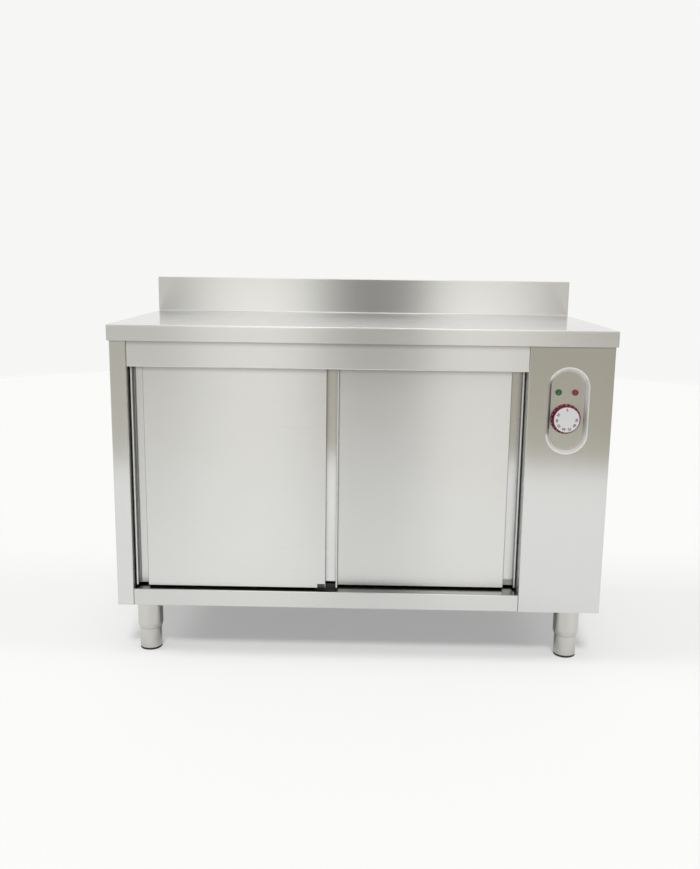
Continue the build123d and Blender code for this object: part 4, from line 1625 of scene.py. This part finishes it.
# ------------------------------------------------------------------ studio
@dataclass(frozen=True)
class Room:
    """The large dim room round the cabinet: its walls, ceiling, two windows and the pier between.

    A heading is in radians, 0 straight in front of the cabinet and growing to the right. A
    height is the sine of the angle over the horizon. Light is a share of white.

    Attributes:
        left_wall: Colour of the walls near the horizon, left of the cabinet's front.
        right_wall: The same at the right.
        wall_span: Headings between which one turns into the other.
        wall_slope: How much of their light the walls lose in a radian to the right.
        horizon: Heights between which the lower walls turn into the upper ones.
        upper_tint: Colour of the walls, windows and ceiling higher up.
        upper_light: Light of the walls higher up.
        left_window: Headings of the left window.
        right_window: Headings of the right window.
        window_light: Light that a window adds.
        ceiling: Heights between which the ceiling comes in.
        ceiling_light: Light that the ceiling adds.
        pier: Headings of the pier.
        pier_height: Heights of the pier.
        pier_glint: Heading of the paler line in the pier, and half its width.
        glint_share: How much of the pier it takes away.
        pier_foot: Colour of the pier low down.
        pier_head: Colour of the pier higher up.
        pier_joint: Heights between which one turns into the other.
        behind: Colour of the light from the sides and from behind.
        side_span: Headings, to either side, between which the room turns into that light.
        backdrop: Colour that the camera sees instead of all this.
    """

    left_wall: Colour = (0.6, 0.59, 0.53)
    right_wall: Colour = (0.567, 0.534, 0.438)
    wall_span: Pair = (-0.3, 0.25)
    wall_slope: float = 0.3
    horizon: Pair = (-0.06, 0.06)
    upper_tint: Colour = (1.0, 0.99, 0.965)
    upper_light: float = 0.46
    left_window: Band = (-0.165, -0.075, 0.05, 0.04)
    right_window: Band = (0.085, 0.14, 0.037, 0.11)
    window_light: float = 0.88
    ceiling: Pair = (0.55, 0.8)
    ceiling_light: float = 0.57
    pier: Band = (0.005, 0.05, 0.075, 0.027)
    pier_height: Band = (-0.08, 0.4, 0.09, 0.2)
    pier_glint: Pair = (0.021, 0.02)
    glint_share: float = 0.5
    pier_foot: Colour = (0.03, 0.0295, 0.028)
    pier_head: Colour = (0.125, 0.122, 0.114)
    pier_joint: Pair = (-0.05, 0.05)
    behind: Colour = (1.0, 1.0, 0.99)
    side_span: Pair = (1.2, 1.9)
    backdrop: Colour = (0.925, 0.925, 0.915)

    def paint(self, bench: Bench) -> Signal:
        """Lay walls, windows, ceiling, pier and backdrop over each other by direction.

        Args:
            bench: The world's node tree.

        Returns:
            The background shader.
        """
        across, depth, height = bench.axes(bench.node("ShaderNodeTexCoord", output="Generated"))
        heading = across.heading(depth * -1.0)
        wall = bench.mix(self.left_wall, self.right_wall, heading.step(*self.wall_span))
        lower = bench.tone(wall, 1 - heading * self.wall_slope)
        windows = heading.between(*self.left_window) + heading.between(*self.right_window)
        light = self.upper_light + windows * self.window_light
        light = light + height.step(*self.ceiling) * self.ceiling_light
        room = bench.mix(lower, bench.tone(self.upper_tint, light), height.step(*self.horizon))
        pier = heading.between(*self.pier) * height.between(*self.pier_height)
        pier = pier * (1 - heading.hill(*self.pier_glint) * self.glint_share)
        stone = bench.mix(self.pier_foot, self.pier_head, height.step(*self.pier_joint))
        front = bench.mix(room, stone, pier)
        whole = bench.mix(front, self.behind, abs(heading).step(*self.side_span))
        seen = bench.node("ShaderNodeLightPath", output="Is Camera Ray")
        shown = bench.mix(whole, self.backdrop, seen)
        return bench.node("ShaderNodeBackground", inputs={"Color": shown, "Strength": 1.0})


@dataclass
class Studio:
    """A pale floor in the room, with two softboxes and suns for the floor alone.

    Attributes:
        paper: Finish and size of the floor disc.
        hub: Radius of the flat in the middle of the disc.
        rings: Rings of points in the disc.
        turns: Faces round the disc.
        suns: Heading and height in degrees, light and spread of the floor's suns.
        room: The room round it.
        softboxes: Name and place of each softbox.
        softbox_size: Length of a softbox's side.
        softbox_power: Power of a softbox in watts.
        softbox_aim: The point that the softboxes face.
        camera_place: Where the camera stands.
        camera_turn: How it is turned from looking level along Y, as an axis times an angle.
        focal_length: Focal length in pixels.
        image_height: Height of the image in pixels.
        sensor: Height of the sensor in millimetres.
    """

    paper: FloorPaper = FloorPaper()
    hub: float = 0.02
    rings: int = 24
    turns: int = 96
    suns: tuple[tuple[float, float, float, float], ...] = (
        (0, 52, 0.24, 11), (0, 80, 0.087, 30), (-84, 42, 0.086, 22), (85, 42, 0.048, 22),
    )
    room: Room = Room()
    softboxes: tuple[tuple[str, Triple], ...] = (
        ("left_softbox", (-2.4, -1.6, 2.6)), ("right_softbox", (2.4, -1.6, 2.6)),
    )
    softbox_size: float = 1.6
    softbox_power: float = 14.0
    softbox_aim: Triple = (0.0, 0.0, 0.5)
    camera_place: Triple = (0.009, -2.4516, 0.9906)
    camera_turn: Triple = (0.190092, 0.0165434, 0.0141478)
    focal_length: float = 920.74
    image_height: float = 869.0
    sensor: float = 36.0

    def build(self) -> None:
        """Make the floor, the world, the softboxes and the camera."""
        self.floor()
        self.world()
        for name, place in self.softboxes:
            self.softbox(name, place)
        self.camera()
        bpy.context.scene.view_settings.view_transform = "Standard"

    def floor(self) -> None:
        """A flat disc: each point is its ring's radius turned by its angle."""
        radii = np.linspace(self.hub, self.paper.reach, self.rings)
        radius, angle = np.meshgrid(radii, full_circle(self.turns), indexing="ij")
        points = np.stack([radius * np.cos(angle), radius * np.sin(angle), 0 * radius], -1)
        points[..., 1] += self.paper.middle
        disc = mesh_piece("studio_floor", [Patch(points, wrap_v=True, cap_start=True)])
        disc.data.materials.append(self.paper.material())
        lit = bpy.data.collections.new("lit_by_floor_suns")
        lit.objects.link(disc)
        for sun in self.suns:
            self.floor_sun(lit, *sun)

    def floor_sun(
        self, lit: bpy.types.Collection, heading: float, climb: float, light: float, spread: float
    ) -> None:
        """Hang a sun that lights nothing but the floor.

        Args:
            lit: Collection that holds the floor.
            heading: Degrees to the right of straight in front of the cabinet.
            climb: Degrees above the floor.
            light: Brightness that it gives the floor.
            spread: Degrees across the sun.
        """
        rise = math.sin(math.radians(climb))
        lamp = bpy.data.lights.new("floor_sun", "SUN")
        lamp.energy = light * math.pi / (self.paper.colour[0] * rise)
        lamp.angle = math.radians(spread)
        sun = bpy.data.objects.new("floor_sun", lamp)
        sun.rotation_euler = (math.radians(90 - climb), 0.0, math.radians(heading))
        sun.light_linking.receiver_collection = lit
        bpy.context.scene.collection.objects.link(sun)

    def world(self) -> None:
        """Put the room round the cabinet."""
        world = bpy.data.worlds.new("studio_room")
        world.use_nodes = True
        bpy.context.scene.world = world
        bench = Bench(world.node_tree)
        bench.output(self.room.paint(bench), "ShaderNodeOutputWorld")

    def softbox(self, name: str, place: Triple) -> None:
        """Hang a square softbox that faces the cabinet.

        Args:
            name: Name of the lamp.
            place: Middle of the softbox.
        """
        lamp = bpy.data.lights.new(name, "AREA")
        lamp.size = self.softbox_size
        lamp.energy = self.softbox_power
        box = bpy.data.objects.new(name, lamp)
        box.location = place
        aim = Vector(self.softbox_aim) - Vector(place)
        box.rotation_euler = aim.to_track_quat("-Z", "Y").to_euler()
        bpy.context.scene.collection.objects.link(box)

    def camera(self) -> None:
        """Stand the camera a little above the deck and in front of the middle.

        The rows of view are its directions to the right, downwards and forwards.
        """
        turn = Vector(self.camera_turn)
        level = Matrix(((1, 0, 0), (0, 0, -1), (0, 1, 0)))
        view = Matrix.Rotation(turn.length, 3, turn.normalized()) @ level
        data = bpy.data.cameras.new("camera")
        data.sensor_width = self.sensor
        data.lens = self.focal_length / self.image_height * self.sensor
        camera = bpy.data.objects.new("camera", data)
        axes = Matrix((view[0], -view[1], -view[2])).transposed()
        camera.matrix_world = Matrix.Translation(self.camera_place) @ axes.to_4x4()
        bpy.context.scene.collection.objects.link(camera)
        bpy.context.scene.camera = camera


def main() -> None:
    """Dress the nodes, build the pieces and set up the studio."""
    logging.basicConfig(level=logging.INFO, format="%(message)s")
    for group in (Worktop(), Casing(), Controls(), Doors(), Chamber(), Legs()):
        group.build()
    Studio().build()


if __name__ == "__main__":
    main()
